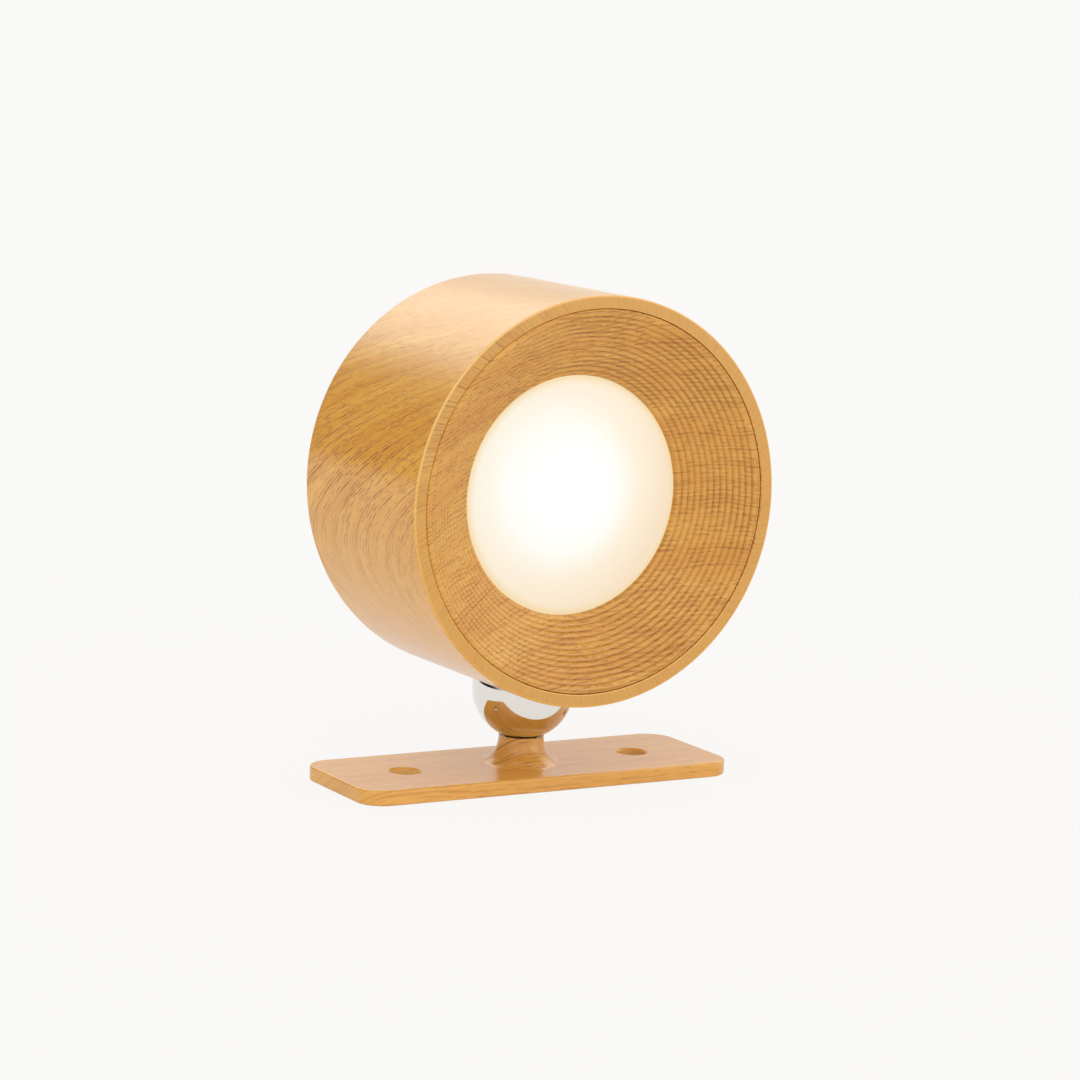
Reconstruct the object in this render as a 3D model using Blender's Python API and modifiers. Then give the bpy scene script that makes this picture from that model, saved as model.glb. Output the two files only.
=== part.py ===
"""Cordless wall light: a short drum-shaped head that a magnet holds on a polished steel ball.

The ball stands on the neck of a small wall plate with two screw holes. The head can turn,
nod and lean on the ball, and lifts off it for charging.

World frame: metres, +Z up. The origin is the middle of the wall plate's underside, under the
ball. The head shines towards -Y. Inside the head, pieces are placed in the head's own frame:
x to the right, y up and z forward along the beam, with z = 0 at the ball's axis.
"""

import math

import bmesh
import bpy
from mathutils import Matrix, Vector

# Clearances and overruns
SEAT_GAP = 0.0003  # between pieces that touch or seat on each other
OVERRUN = 0.0020  # how far a cutter runs past the face that it opens
BITE = 0.0004  # how far one shape sinks into another that it is joined to
WELD_DISTANCE = 0.000001

# Wall plate
PLATE_LENGTH = 0.0960
PLATE_WIDTH = 0.0337
PLATE_THICKNESS = 0.0035
PLATE_CORNER_RADIUS = 0.0062
PLATE_EDGE_ROUND = 0.0005
SCREW_SPACING = 0.0600
SCREW_SEAT_RADIUS = 0.0035
SCREW_SEAT_CHAMFER = 0.0004
SCREW_HOLE_RADIUS = 0.00225
SCREW_LAND = 0.0013  # plate left under the screw's head

# Neck that carries the ball
NECK_RADIUS = 0.0052
NECK_FLARE_WIDTH = 0.0045
NECK_FLARE_HEIGHT = 0.0062
INSERT_RADIUS = 0.0034
INSERT_FLOOR = 0.0027  # plate left under the insert's bore
INSERT_LENGTH = 0.0055

# Ball and its stud
BALL_RADIUS = 0.01175
BALL_HEIGHT = 0.0207  # ball centre above the plate's underside
STUD_RADIUS = 0.0020
STUD_IN_BALL = 0.0062
STUD_TIP_CHAMFER = 0.0003

# Socket in the head, all round the ball's centre
LINER_WALL = 0.0008
LINER_HALF_ANGLE = math.radians(50)
SOCKET_WALL = 0.0014
SOCKET_MOUTH_GAP = 0.00055
SOCKET_POLE_WALL = 0.0012
BARREL_ABOVE_PIVOT = 0.0013  # lowest line of the barrel above the ball's centre

# Magnet, in a pocket over the socket
MAGNET_RADIUS = 0.0075
MAGNET_THICKNESS = 0.0035
MAGNET_CHAMFER = 0.0003
POCKET_WALL = 0.0014
CAP_THICKNESS = 0.0014
CAP_SCREW_OFFSET = 0.0114
CAP_POST_RADIUS = 0.0024
CAP_EAR_ROOT = 0.0034  # half of an ear's width where it leaves the cap's disc
CAP_SCREW_DEPTH = 0.0058

# Head
HEAD_RADIUS = 0.0460
HEAD_DEPTH = 0.0524
FRONT_SHARE = 0.5668  # of the head's depth, ahead of the ball's axis
HEAD_WALL = 0.0022
RIM_WIDTH = 0.0029
RIM_CHAMFER = 0.0004
BACK_ROUND = 0.0008
LEDGE_CLEARANCE = 0.00045  # from the socket to the seats in front of it and behind it
LEDGE_HEIGHT = 0.0019
LEDGE_THICKNESS = 0.0018

# Ribbed reflector ring
RING_RECESS = 0.0003  # the ring's mouth behind the rim's face
RING_LIP = 0.0005
RING_WALL = 0.0018
SKIRT_WALL = 0.0015
THROAT_RADIUS = 0.0271
THROAT_LIP = 0.0010
COLLAR_WALL = 0.0012
COLLAR_LENGTH = 0.0029
RIB_COUNT = 13
RIB_HEIGHT = 0.00028
RIB_CREST_SHARES = (0.30, 0.70)  # places of a rib's two crest points along its pitch
POST_RADIUS = 0.0021
POST_ANGLES = tuple(math.radians(a) for a in (90, 210, 330))

# Snap hooks of the ring and the cover
HOOK_ANGLES = tuple(math.radians(a) for a in (30, 150, 240, 300))
HOOK_WALL = 0.0014
HOOK_WIDTH = 0.0060
HOOK_REACH = 0.0011
HOOK_NOSE = 0.0016

# Diffuser
DIFFUSER_FLANGE_WIDTH = 0.0018
DIFFUSER_FLANGE_THICKNESS = 0.0012
DIFFUSER_STEP = 0.0010
DIFFUSER_CROWN = 0.0027
DIFFUSER_WALL = 0.0015

# Light box, a tapered cup behind the diffuser
LIGHT_BOX_DEPTH = 0.0062
LIGHT_BOX_CLEARANCE = 0.0003  # in front of the magnet's pocket
LIGHT_BOX_WALL = 0.0016
LIGHT_BOX_FLOOR = 0.0015
LIGHT_BOX_BAND = 0.0014
LIGHT_BOX_TAPER = 0.0038  # how much less the floor's radius is than the rim's
EAR_RADIUS = 0.0026
EAR_STEP = 0.0001  # from a floor's face to the ear's
LEAD_HOLE_RADIUS = 0.0020
LEAD_HOLE_RISE = 0.0019  # above the cell's trough
LEAD_HOLE_OUTSET = 0.0017  # beside the board's shelf

# Light board
LED_BOARD_MARGIN = 0.0012
LED_BOARD_THICKNESS = 0.0012
LED_COUNT = 6
LED_INSET = 0.0080  # from the light board's edge to the LEDs' circle
LED_LENGTH = 0.0035
LED_WIDTH = 0.0028
LED_HEIGHT = 0.0008

# Chassis, which carries the cell and the control board
CHASSIS_THICKNESS = 0.0017
CHASSIS_CLEARANCE = 0.0011  # over the magnet's cap
TROUGH_WALL = 0.0016
TROUGH_OPENING = 0.0033  # edge of the trough's open side behind the cell's axis
SHELF_RISE = 0.0170
SHELF_THICKNESS = 0.0016
SHELF_WIDTH = 0.0220
SHELF_SETBACK = 0.0034  # the shelf's rear edge ahead of the board's
SHELF_RIB_OFFSET = 0.0085
SHELF_RIB_THICKNESS = 0.0015
SHELF_RIB_SHARE = 0.8  # of the shelf's length

# Cell
CELL_RADIUS = 0.0092
CELL_ROOM = 0.0113  # from each end of the cell out to the bore's radius
CELL_DROP = 0.0040  # cell axis below the head's axis
CELL_EDGE_ROUND = 0.0008
CELL_BUTTON_RADIUS = 0.0030
CELL_BUTTON_RECESS = 0.0007

# Control board and what is on it
BOARD_WIDTH = 0.0400
BOARD_TO_CHASSIS = 0.0050
BOARD_THICKNESS = 0.0016
BOARD_TO_COVER = 0.0023
BOARD_SCREW_OFFSET = 0.0080
BOARD_SCREW_BACK = 0.0026
CHIP_SIDE = 0.0040
CHIP_HEIGHT = 0.0010
COIL_RADIUS = 0.0020
COIL_HEIGHT = 0.0020
COIL_X = 0.0062
CHIP_X = -0.0030
COMPONENTS_FRONT = 0.0058  # chip and coil behind the board's front edge

# Charging socket
USB_WIDTH = 0.0089
USB_HEIGHT = 0.0032
USB_LENGTH = 0.0073
USB_WALL = 0.0003
USB_RECESS = 0.0007  # mouth in from the cover's face
USB_TONGUE_WIDTH = 0.0066
USB_TONGUE_THICKNESS = 0.0007
USB_TONGUE_LENGTH = 0.0045
USB_BACK_WALL = 0.0010

# Button and its switch
BUTTON_X = 0.0120
BUTTON_RADIUS = 0.0045
BUTTON_PROUD = 0.0004
BUTTON_DISH = 0.0002
BUTTON_FLANGE_WIDTH = 0.0011
BUTTON_FLANGE_THICKNESS = 0.0008
BUTTON_STEM_RADIUS = 0.0015
BUTTON_STEM_LENGTH = 0.0008
BUTTON_TRAVEL = 0.0005
SWITCH_SIDE = 0.0060
SWITCH_HEIGHT = 0.0032
SWITCH_LENGTH = 0.0035
SWITCH_NUB_RADIUS = 0.0012
SWITCH_NUB_LENGTH = 0.0010

# Status light
STATUS_X = -0.0110
PIPE_RADIUS = 0.0012
PIPE_RECESS = 0.0001
PIPE_FLANGE_RADIUS = 0.0020
PIPE_FLANGE_THICKNESS = 0.0008
PIPE_LENGTH = 0.0045
STATUS_LED_SIDE = 0.0016
STATUS_LED_HEIGHT = 0.0012

# Back cover
COVER_THICKNESS = 0.0020
COVER_EDGE_ROUND = 0.0005
COVER_SKIRT_WALL = 0.0015

# Small screws: head radius, head height, shank radius
FRAME_SCREW = (0.0022, 0.0013, 0.0012)
BOARD_SCREW = (0.0022, 0.0012, 0.0012)
CAP_SCREW = (0.0020, 0.0012, 0.0010)
FRAME_SCREW_BITE = 0.0055
BOARD_SCREW_TAIL = 0.0008

# Leads inside the head
LEAD_RADIUS = 0.0006
LEAD_PITCH = 0.0016
LEAD_BEND = 0.0028
LEAD_ON_CELL = 0.0058
LEAD_LANDING = 0.0025

# Steps round turned pieces
HEAD_STEPS = 48
MIDDLE_STEPS = 32
BALL_STEPS = 24
SMALL_STEPS = 16
SCREW_STEPS = 12

# Heights over the plate, and places along the head's z axis
LINER_INNER = BALL_RADIUS + SEAT_GAP
LINER_OUTER = LINER_INNER + LINER_WALL
SOCKET_RADIUS = LINER_OUTER + SEAT_GAP
SOCKET_OUTER = SOCKET_RADIUS + SOCKET_WALL
MAGNET_BASE = SOCKET_RADIUS + SOCKET_POLE_WALL
POCKET_RADIUS = MAGNET_RADIUS + SEAT_GAP
POCKET_OUTER = POCKET_RADIUS + POCKET_WALL
POCKET_TOP = MAGNET_BASE + 2 * SEAT_GAP + MAGNET_THICKNESS
CAP_TOP = POCKET_TOP + SEAT_GAP + CAP_THICKNESS
HEAD_ABOVE_PIVOT = HEAD_RADIUS + BARREL_ABOVE_PIVOT
HEAD_FRONT = HEAD_DEPTH * FRONT_SHARE
HEAD_BACK = HEAD_FRONT - HEAD_DEPTH
BORE_RADIUS = HEAD_RADIUS - HEAD_WALL
RIM_RADIUS = HEAD_RADIUS - RIM_WIDTH
LEDGE_RADIUS = RIM_RADIUS - LEDGE_HEIGHT
RING_LEDGE = SOCKET_OUTER + LEDGE_CLEARANCE
COVER_LEDGE = -SOCKET_OUTER - LEDGE_CLEARANCE
RING_RADIUS = RIM_RADIUS - SEAT_GAP
RING_FRONT = HEAD_FRONT - RING_RECESS
MOUTH_RADIUS = RING_RADIUS - RING_LIP
LIGHT_BOX_BACK = POCKET_OUTER + LIGHT_BOX_CLEARANCE
LIGHT_BOX_SEAT = LIGHT_BOX_BACK + LIGHT_BOX_FLOOR
LIGHT_BOX_FRONT = LIGHT_BOX_BACK + LIGHT_BOX_DEPTH
FLANGE_BACK = LIGHT_BOX_FRONT + SEAT_GAP
FLANGE_FRONT = FLANGE_BACK + DIFFUSER_FLANGE_THICKNESS
THROAT_BACK = FLANGE_FRONT + SEAT_GAP
THROAT = THROAT_BACK + THROAT_LIP
CONE_DEPTH = RING_FRONT - THROAT
DOME_RADIUS = THROAT_RADIUS - SEAT_GAP
FLANGE_RADIUS = DOME_RADIUS + DIFFUSER_FLANGE_WIDTH
COLLAR_INNER = FLANGE_RADIUS + SEAT_GAP
COLLAR_OUTER = COLLAR_INNER + COLLAR_WALL
POST_CIRCLE_RADIUS = (FLANGE_RADIUS + LEDGE_RADIUS) / 2
FLOOR_OUTER = FLANGE_RADIUS - LIGHT_BOX_TAPER
FLOOR_INNER = FLOOR_OUTER - LIGHT_BOX_WALL
LED_BOARD_RADIUS = FLOOR_INNER - LED_BOARD_MARGIN
LED_CIRCLE_RADIUS = LED_BOARD_RADIUS - LED_INSET
LED_BOARD_BACK = LIGHT_BOX_SEAT + SEAT_GAP
LED_BOARD_FRONT = LED_BOARD_BACK + LED_BOARD_THICKNESS
CHASSIS_RADIUS = HEAD_ABOVE_PIVOT - CAP_TOP - CHASSIS_CLEARANCE
CHASSIS_FRONT = LIGHT_BOX_BACK - SEAT_GAP
CHASSIS_BACK = CHASSIS_FRONT - CHASSIS_THICKNESS
TROUGH_INNER = CELL_RADIUS + SEAT_GAP
TROUGH_OUTER = TROUGH_INNER + TROUGH_WALL
CELL_AXIS = CHASSIS_BACK + BITE - TROUGH_OUTER
CELL_END = BORE_RADIUS - CELL_ROOM
LEAD_HOLE_X = -SHELF_WIDTH / 2 - LEAD_HOLE_OUTSET
LEAD_HOLE_Y = TROUGH_OUTER - CELL_DROP + LEAD_HOLE_RISE
COVER_INNER = HEAD_BACK + COVER_THICKNESS
COVER_RADIUS = BORE_RADIUS - SEAT_GAP
BOARD_REAR = COVER_INNER + BOARD_TO_COVER
BOARD_FRONT = CHASSIS_BACK - BOARD_TO_CHASSIS
BOARD_UNDERSIDE = SHELF_RISE + SHELF_THICKNESS + SEAT_GAP
BOARD_TOP = BOARD_UNDERSIDE + BOARD_THICKNESS
BOARD_SEAT = BOARD_TOP + SEAT_GAP
PORT_HEIGHT = BOARD_SEAT + USB_HEIGHT / 2
HOOK_OUTER = LEDGE_RADIUS - SEAT_GAP
HOOK_INNER = HOOK_OUTER - HOOK_WALL

SMOOTH_BELOW = math.radians(32)


def clear_scene():
    for obj in list(bpy.data.objects):
        bpy.data.objects.remove(obj, do_unlink=True)


def new_collection(name, hidden=False):
    collection = bpy.data.collections.new(name)
    bpy.context.scene.collection.children.link(collection)
    collection.hide_render = hidden
    return collection


clear_scene()
PARTS = new_collection("cordless_wall_light")
CUTTERS = new_collection("cutters", hidden=True)


def linear(channel):
    if channel <= 0.04045:
        return channel / 12.92
    return ((channel + 0.055) / 1.055) ** 2.4


def make_material(name, hex_colour, roughness, metallic=0.0, transmission=0.0, glow=0.0):
    """A Principled material from an sRGB hex colour such as "D9A54C"."""
    material = bpy.data.materials.new(name)
    material.use_nodes = True
    shader = material.node_tree.nodes["Principled BSDF"]
    channels = [int(hex_colour[i : i + 2], 16) / 255 for i in (0, 2, 4)]
    colour = [linear(channel) for channel in channels] + [1.0]
    shader.inputs["Base Color"].default_value = colour
    shader.inputs["Roughness"].default_value = roughness
    shader.inputs["Metallic"].default_value = metallic
    shader.inputs["Transmission Weight"].default_value = transmission
    shader.inputs["Emission Color"].default_value = colour
    shader.inputs["Emission Strength"].default_value = glow
    material.diffuse_color = colour
    return material


OAK_FILM = make_material("oak_grain_film_on_abs", "D9A556", 0.32)
CHROME = make_material("polished_steel", "E4E4E2", 0.05, metallic=1.0)
FROSTED = make_material("frosted_acrylic", "FFF6E6", 0.45, glow=1.0)
WHITE_ABS = make_material("white_abs", "F2F0EA", 0.5)
BLACK_ABS = make_material("black_abs", "232323", 0.5)
SILICONE = make_material("black_silicone", "1B1B1B", 0.75)
BRASS = make_material("turned_brass", "C9A24D", 0.3, metallic=1.0)
ZINC = make_material("zinc_plated_steel", "B9BCC0", 0.35, metallic=1.0)
NICKEL = make_material("nickel_plate", "C6C3BC", 0.25, metallic=1.0)
CIRCUIT = make_material("circuit_board", "1E6B3A", 0.45)
WHITE_BOARD = make_material("white_aluminium_board", "F4F4F1", 0.4)
PHOSPHOR = make_material("led_phosphor", "F5D66B", 0.4)
CELL_WRAP = make_material("cell_wrap", "2F6FB0", 0.35)
FERRITE = make_material("ferrite", "3A3A3C", 0.6)
CLEAR = make_material("clear_acrylic", "EDEDED", 0.1, transmission=0.8)
RED_WIRE = make_material("red_pvc", "B3261E", 0.45)
BLACK_WIRE = make_material("black_pvc", "1D1D1D", 0.45)


def new_frame(name, location, rotation=(0.0, 0.0, 0.0), parent=None):
    """An empty that carries pieces."""
    frame = bpy.data.objects.new(name, None)
    frame.location = location
    frame.rotation_euler = rotation
    frame.parent = parent
    PARTS.objects.link(frame)
    return frame


BALL_PIVOT = new_frame("ball_pivot", (0.0, 0.0, BALL_HEIGHT))
HEAD_AXIS = new_frame(
    "head_axis", (0.0, 0.0, HEAD_ABOVE_PIVOT), (math.pi / 2, 0.0, 0.0), BALL_PIVOT
)


def place(name, mesh, material, parent, location=(0.0, 0.0, 0.0), rotation=(0.0, 0.0, 0.0)):
    """Links a mesh as a piece, or as a hidden helper when it has no material."""
    obj = bpy.data.objects.new(name, mesh)
    obj.location = location
    obj.rotation_euler = rotation
    obj.parent = parent
    if material is None:
        CUTTERS.objects.link(obj)
        obj.hide_render = True
        obj.display_type = "WIRE"
    else:
        mesh.materials.append(material)
        PARTS.objects.link(obj)
    return obj


def turned(name, profile, material, parent=None, steps=MIDDLE_STEPS, ring=False, **where):
    """Turns (radius, height) points round the parent's z axis, outer side listed from the top."""
    edges = [(i, i + 1) for i in range(len(profile) - 1)]
    if ring:
        edges.append((len(profile) - 1, 0))
    mesh = bpy.data.meshes.new(name)
    mesh.from_pydata([(radius, 0.0, height) for radius, height in profile], edges, [])
    obj = place(name, mesh, material, parent, **where)
    screw = obj.modifiers.new("Turn", "SCREW")
    screw.axis = "Z"
    screw.steps = steps
    screw.render_steps = steps
    screw.use_merge_vertices = True
    screw.merge_threshold = WELD_DISTANCE
    return obj


def block(name, low, high, material, parent=None, edge_round=0.0):
    """A box between two corners of the parent's frame."""
    low = Vector(low)
    size = Vector(high) - low
    bm = bmesh.new()
    bmesh.ops.create_cube(bm, size=1.0)
    bmesh.ops.scale(bm, vec=size, verts=bm.verts)
    mesh = bpy.data.meshes.new(name)
    bm.to_mesh(mesh)
    bm.free()
    obj = place(name, mesh, material, parent, location=low + size / 2)
    if edge_round:
        bevel = obj.modifiers.new("Round", "BEVEL")
        bevel.width = edge_round
        bevel.segments = 2
    return obj


def rod(name, start, end, radius, material, parent=None, steps=SMALL_STEPS):
    """A cylinder from one point of the parent's frame to another."""
    start = Vector(start)
    run = Vector(end) - start
    turn = run.to_track_quat("Z", "Y").to_matrix().to_4x4()
    bm = bmesh.new()
    bmesh.ops.create_cone(
        bm, cap_ends=True, segments=steps, radius1=radius, radius2=radius, depth=run.length, matrix=turn
    )
    mesh = bpy.data.meshes.new(name)
    bm.to_mesh(mesh)
    bm.free()
    return place(name, mesh, material, parent, location=start + run / 2)


def ball(name, radius, material, parent=None):
    bm = bmesh.new()
    bmesh.ops.create_uvsphere(bm, u_segments=BALL_STEPS, v_segments=BALL_STEPS // 2, radius=radius)
    mesh = bpy.data.meshes.new(name)
    bm.to_mesh(mesh)
    bm.free()
    return place(name, mesh, material, parent)


def slab(name, outline, thickness, material, parent=None, **where):
    """A flat outline in the x-y plane, thickened evenly to both sides of it."""
    curve = bpy.data.curves.new(name, "CURVE")
    curve.dimensions = "2D"
    curve.fill_mode = "BOTH"
    curve.extrude = thickness / 2
    spline = curve.splines.new("POLY")
    spline.points.add(len(outline) - 1)
    for point, (x, y) in zip(spline.points, outline):
        point.co = (x, y, 0.0, 1.0)
    spline.use_cyclic_u = True
    guide = bpy.data.objects.new(name, curve)
    CUTTERS.objects.link(guide)
    graph = bpy.context.evaluated_depsgraph_get()
    mesh = bpy.data.meshes.new_from_object(guide.evaluated_get(graph))
    bpy.data.objects.remove(guide, do_unlink=True)
    bm = bmesh.new()
    bm.from_mesh(mesh)
    bmesh.ops.remove_doubles(bm, verts=bm.verts, dist=WELD_DISTANCE)
    bmesh.ops.recalc_face_normals(bm, faces=bm.faces)
    bm.to_mesh(mesh)
    bm.free()
    return place(name, mesh, material, parent, **where)


def combine(obj, operation, other):
    boolean = obj.modifiers.new(operation.title(), "BOOLEAN")
    boolean.operation = operation
    boolean.object = other
    return obj


def cut(obj, *cutters):
    for cutter in cutters:
        combine(obj, "DIFFERENCE", cutter)
    return obj


def join(obj, *others):
    for other in others:
        combine(obj, "UNION", other)
    return obj


def arc(centre, radii, start, end, steps):
    """Points of an ellipse's arc, from one angle to another, both ends included."""
    points = []
    for i in range(steps + 1):
        angle = start + (end - start) * i / steps
        points.append((centre[0] + radii[0] * math.cos(angle), centre[1] + radii[1] * math.sin(angle)))
    return points


def rounded_rectangle(length, width, radius, steps=6):
    points = []
    corners = ((1, 1), (-1, 1), (-1, -1), (1, -1))
    for quarter, (side_x, side_y) in enumerate(corners):
        centre = (side_x * (length / 2 - radius), side_y * (width / 2 - radius))
        start = quarter * math.pi / 2
        points += arc(centre, (radius, radius), start, start + math.pi / 2, steps)
    return points


def polar(radius, angle, height=0.0):
    return Vector((radius * math.cos(angle), radius * math.sin(angle), height))


def screw_piece(name, seat, direction, sizes, length, parent):
    """A small pan-head screw whose head sits on the seat, with its shank along the direction."""
    head_radius, head_height, shank_radius = sizes
    edge = head_height / 3
    profile = [
        (0.0, head_height),
        (head_radius - edge, head_height),
        (head_radius, head_height - edge),
        (head_radius, 0.0),
        (shank_radius, 0.0),
        (shank_radius, shank_radius - length),
        (0.0, -length),
    ]
    turn = (-Vector(direction)).to_track_quat("Z", "Y").to_euler()
    return turned(name, profile, ZINC, parent, SCREW_STEPS, location=seat, rotation=turn)


# Base: wall plate with its neck, and the threaded insert


def make_base():
    outline = rounded_rectangle(PLATE_LENGTH, PLATE_WIDTH, PLATE_CORNER_RADIUS)
    middle = (0.0, 0.0, PLATE_THICKNESS / 2)
    plate = slab("base_plate", outline, PLATE_THICKNESS, OAK_FILM, location=middle)
    bevel = plate.modifiers.new("Edge round", "BEVEL")
    bevel.width = PLATE_EDGE_ROUND
    bevel.segments = 2
    bevel.limit_method = "ANGLE"
    bevel.angle_limit = math.radians(60)

    flare_centre = (NECK_RADIUS + NECK_FLARE_WIDTH, PLATE_THICKNESS + NECK_FLARE_HEIGHT)
    flare = arc(flare_centre, (NECK_FLARE_WIDTH, NECK_FLARE_HEIGHT), math.pi, 1.5 * math.pi, 7)
    profile = [(0.0, BALL_HEIGHT), (NECK_RADIUS, BALL_HEIGHT)]
    profile += flare
    profile += [(NECK_RADIUS + NECK_FLARE_WIDTH, PLATE_THICKNESS / 2), (0.0, PLATE_THICKNESS / 2)]
    neck = turned("neck_solid", profile, None, steps=MIDDLE_STEPS)
    dish = ball("neck_dish", LINER_INNER, None, BALL_PIVOT)
    bore_top = (0.0, 0.0, BALL_HEIGHT)
    bore = rod("insert_bore", (0.0, 0.0, INSERT_FLOOR), bore_top, INSERT_RADIUS + SEAT_GAP, None)
    join(plate, neck)
    cut(plate, dish, bore)

    land = SCREW_LAND
    rim = SCREW_SEAT_RADIUS + SCREW_SEAT_CHAMFER
    for side, x in (("left", -SCREW_SPACING / 2), ("right", SCREW_SPACING / 2)):
        hole = turned(
            "screw_hole_" + side,
            [
                (0.0, PLATE_THICKNESS + OVERRUN),
                (rim, PLATE_THICKNESS + OVERRUN),
                (rim, PLATE_THICKNESS),
                (SCREW_SEAT_RADIUS, PLATE_THICKNESS - SCREW_SEAT_CHAMFER),
                (SCREW_SEAT_RADIUS, land),
                (SCREW_HOLE_RADIUS, land),
                (SCREW_HOLE_RADIUS, -OVERRUN),
                (0.0, -OVERRUN),
            ],
            None,
            steps=SMALL_STEPS,
            location=(x, 0.0, 0.0),
        )
        cut(plate, hole)

    foot = INSERT_FLOOR + SEAT_GAP
    bore_radius = STUD_RADIUS + SEAT_GAP
    turned(
        "neck_insert",
        [
            (bore_radius, foot + INSERT_LENGTH),
            (INSERT_RADIUS, foot + INSERT_LENGTH),
            (INSERT_RADIUS, foot),
            (bore_radius, foot),
        ],
        BRASS,
        steps=SMALL_STEPS,
        ring=True,
    )


def make_ball():
    steel = ball("steel_ball", BALL_RADIUS, CHROME, BALL_PIVOT)
    hole_end = STUD_IN_BALL + SEAT_GAP - BALL_RADIUS
    below = (0.0, 0.0, -BALL_RADIUS - OVERRUN)
    cut(steel, rod("ball_hole", (0.0, 0.0, hole_end), below, STUD_RADIUS + SEAT_GAP, None, BALL_PIVOT))
    top = STUD_IN_BALL - BALL_RADIUS
    foot = INSERT_FLOOR + 2 * SEAT_GAP - BALL_HEIGHT
    tip = STUD_RADIUS - STUD_TIP_CHAMFER
    profile = [
        (0.0, top),
        (tip, top),
        (STUD_RADIUS, top - STUD_TIP_CHAMFER),
        (STUD_RADIUS, foot + STUD_TIP_CHAMFER),
        (tip, foot),
        (0.0, foot),
    ]
    turned("ball_stud", profile, ZINC, BALL_PIVOT, SCREW_STEPS)


def spherical(radius, start, end, steps):
    """Points of a sphere's outline at angles from the pole."""
    return arc((0.0, 0.0), (radius, radius), math.pi / 2 - start, math.pi / 2 - end, steps)


def make_liner():
    outer = spherical(LINER_OUTER, 0.0, LINER_HALF_ANGLE, 5)
    inner = spherical(LINER_INNER, LINER_HALF_ANGLE, 0.0, 5)
    profile = [(0.0, LINER_OUTER)] + outer[1:] + inner[:-1] + [(0.0, LINER_INNER)]
    turned("socket_liner", profile, SILICONE, BALL_PIVOT, BALL_STEPS)


# Housing: the barrel, its ledges and the socket that holds the magnet


def socket_solid():
    """The socket's outside, trimmed to the barrel's round wall."""
    shoulder = POCKET_TOP - MAGNET_THICKNESS - SEAT_GAP
    waist = SOCKET_OUTER * math.cos(math.radians(57))
    profile = [
        (0.0, MAGNET_BASE),
        (POCKET_RADIUS, MAGNET_BASE),
        (POCKET_RADIUS, POCKET_TOP),
        (POCKET_OUTER, POCKET_TOP),
        (POCKET_OUTER, shoulder),
        (SOCKET_OUTER, waist),
        (SOCKET_OUTER, -SOCKET_OUTER),
        (0.0, -SOCKET_OUTER),
    ]
    solid = turned("socket_solid", profile, None, BALL_PIVOT, MIDDLE_STEPS)
    for side in (-1, 1):
        x = side * CAP_SCREW_OFFSET
        post = rod(f"cap_post_{side}", (x, 0.0, waist), (x, 0.0, POCKET_TOP), CAP_POST_RADIUS, None, BALL_PIVOT)
        join(solid, post)
    middle_of_wall = HEAD_RADIUS - HEAD_WALL / 2
    trim = rod(
        "barrel_trim", (0.0, 0.0, -HEAD_DEPTH), (0.0, 0.0, HEAD_DEPTH), middle_of_wall, None, HEAD_AXIS, HEAD_STEPS
    )
    return combine(solid, "INTERSECT", trim)


def socket_cutter():
    """The round hole through the barrel's wall and the socket above it."""
    mouth = BALL_RADIUS + SOCKET_MOUTH_GAP
    widest = math.asin(mouth / SOCKET_RADIUS)
    profile = [(0.0, SOCKET_RADIUS)]
    profile += spherical(SOCKET_RADIUS, 0.0, widest, 8)[1:]
    profile += [(mouth, -SOCKET_OUTER), (0.0, -SOCKET_OUTER)]
    return turned("socket_cutter", profile, None, BALL_PIVOT, MIDDLE_STEPS)


def make_housing():
    back_round = arc(
        (HEAD_RADIUS - BACK_ROUND, HEAD_BACK + BACK_ROUND), (BACK_ROUND, BACK_ROUND), 0.0, -math.pi / 2, 3
    )
    profile = [
        (RIM_RADIUS, HEAD_FRONT),
        (HEAD_RADIUS - RIM_CHAMFER, HEAD_FRONT),
        (HEAD_RADIUS, HEAD_FRONT - RIM_CHAMFER),
        *back_round,
        (BORE_RADIUS, HEAD_BACK),
        (BORE_RADIUS, COVER_LEDGE),
        (LEDGE_RADIUS, COVER_LEDGE),
        (LEDGE_RADIUS, COVER_LEDGE + LEDGE_THICKNESS),
        (BORE_RADIUS, COVER_LEDGE + LEDGE_THICKNESS),
        (BORE_RADIUS, RING_LEDGE - LEDGE_THICKNESS),
        (LEDGE_RADIUS, RING_LEDGE - LEDGE_THICKNESS),
        (LEDGE_RADIUS, RING_LEDGE),
        (RIM_RADIUS, RING_LEDGE),
    ]
    housing = turned("housing_shell", profile, OAK_FILM, HEAD_AXIS, HEAD_STEPS, ring=True)
    join(housing, socket_solid())
    cut(housing, socket_cutter())
    for side in (-1, 1):
        x = side * CAP_SCREW_OFFSET
        pilot = rod(
            f"cap_pilot_{side}",
            (x, 0.0, POCKET_TOP - CAP_SCREW_DEPTH),
            (x, 0.0, POCKET_TOP + OVERRUN),
            CAP_SCREW[2] + SEAT_GAP,
            None,
            BALL_PIVOT,
            SCREW_STEPS,
        )
        cut(housing, pilot)


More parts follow.
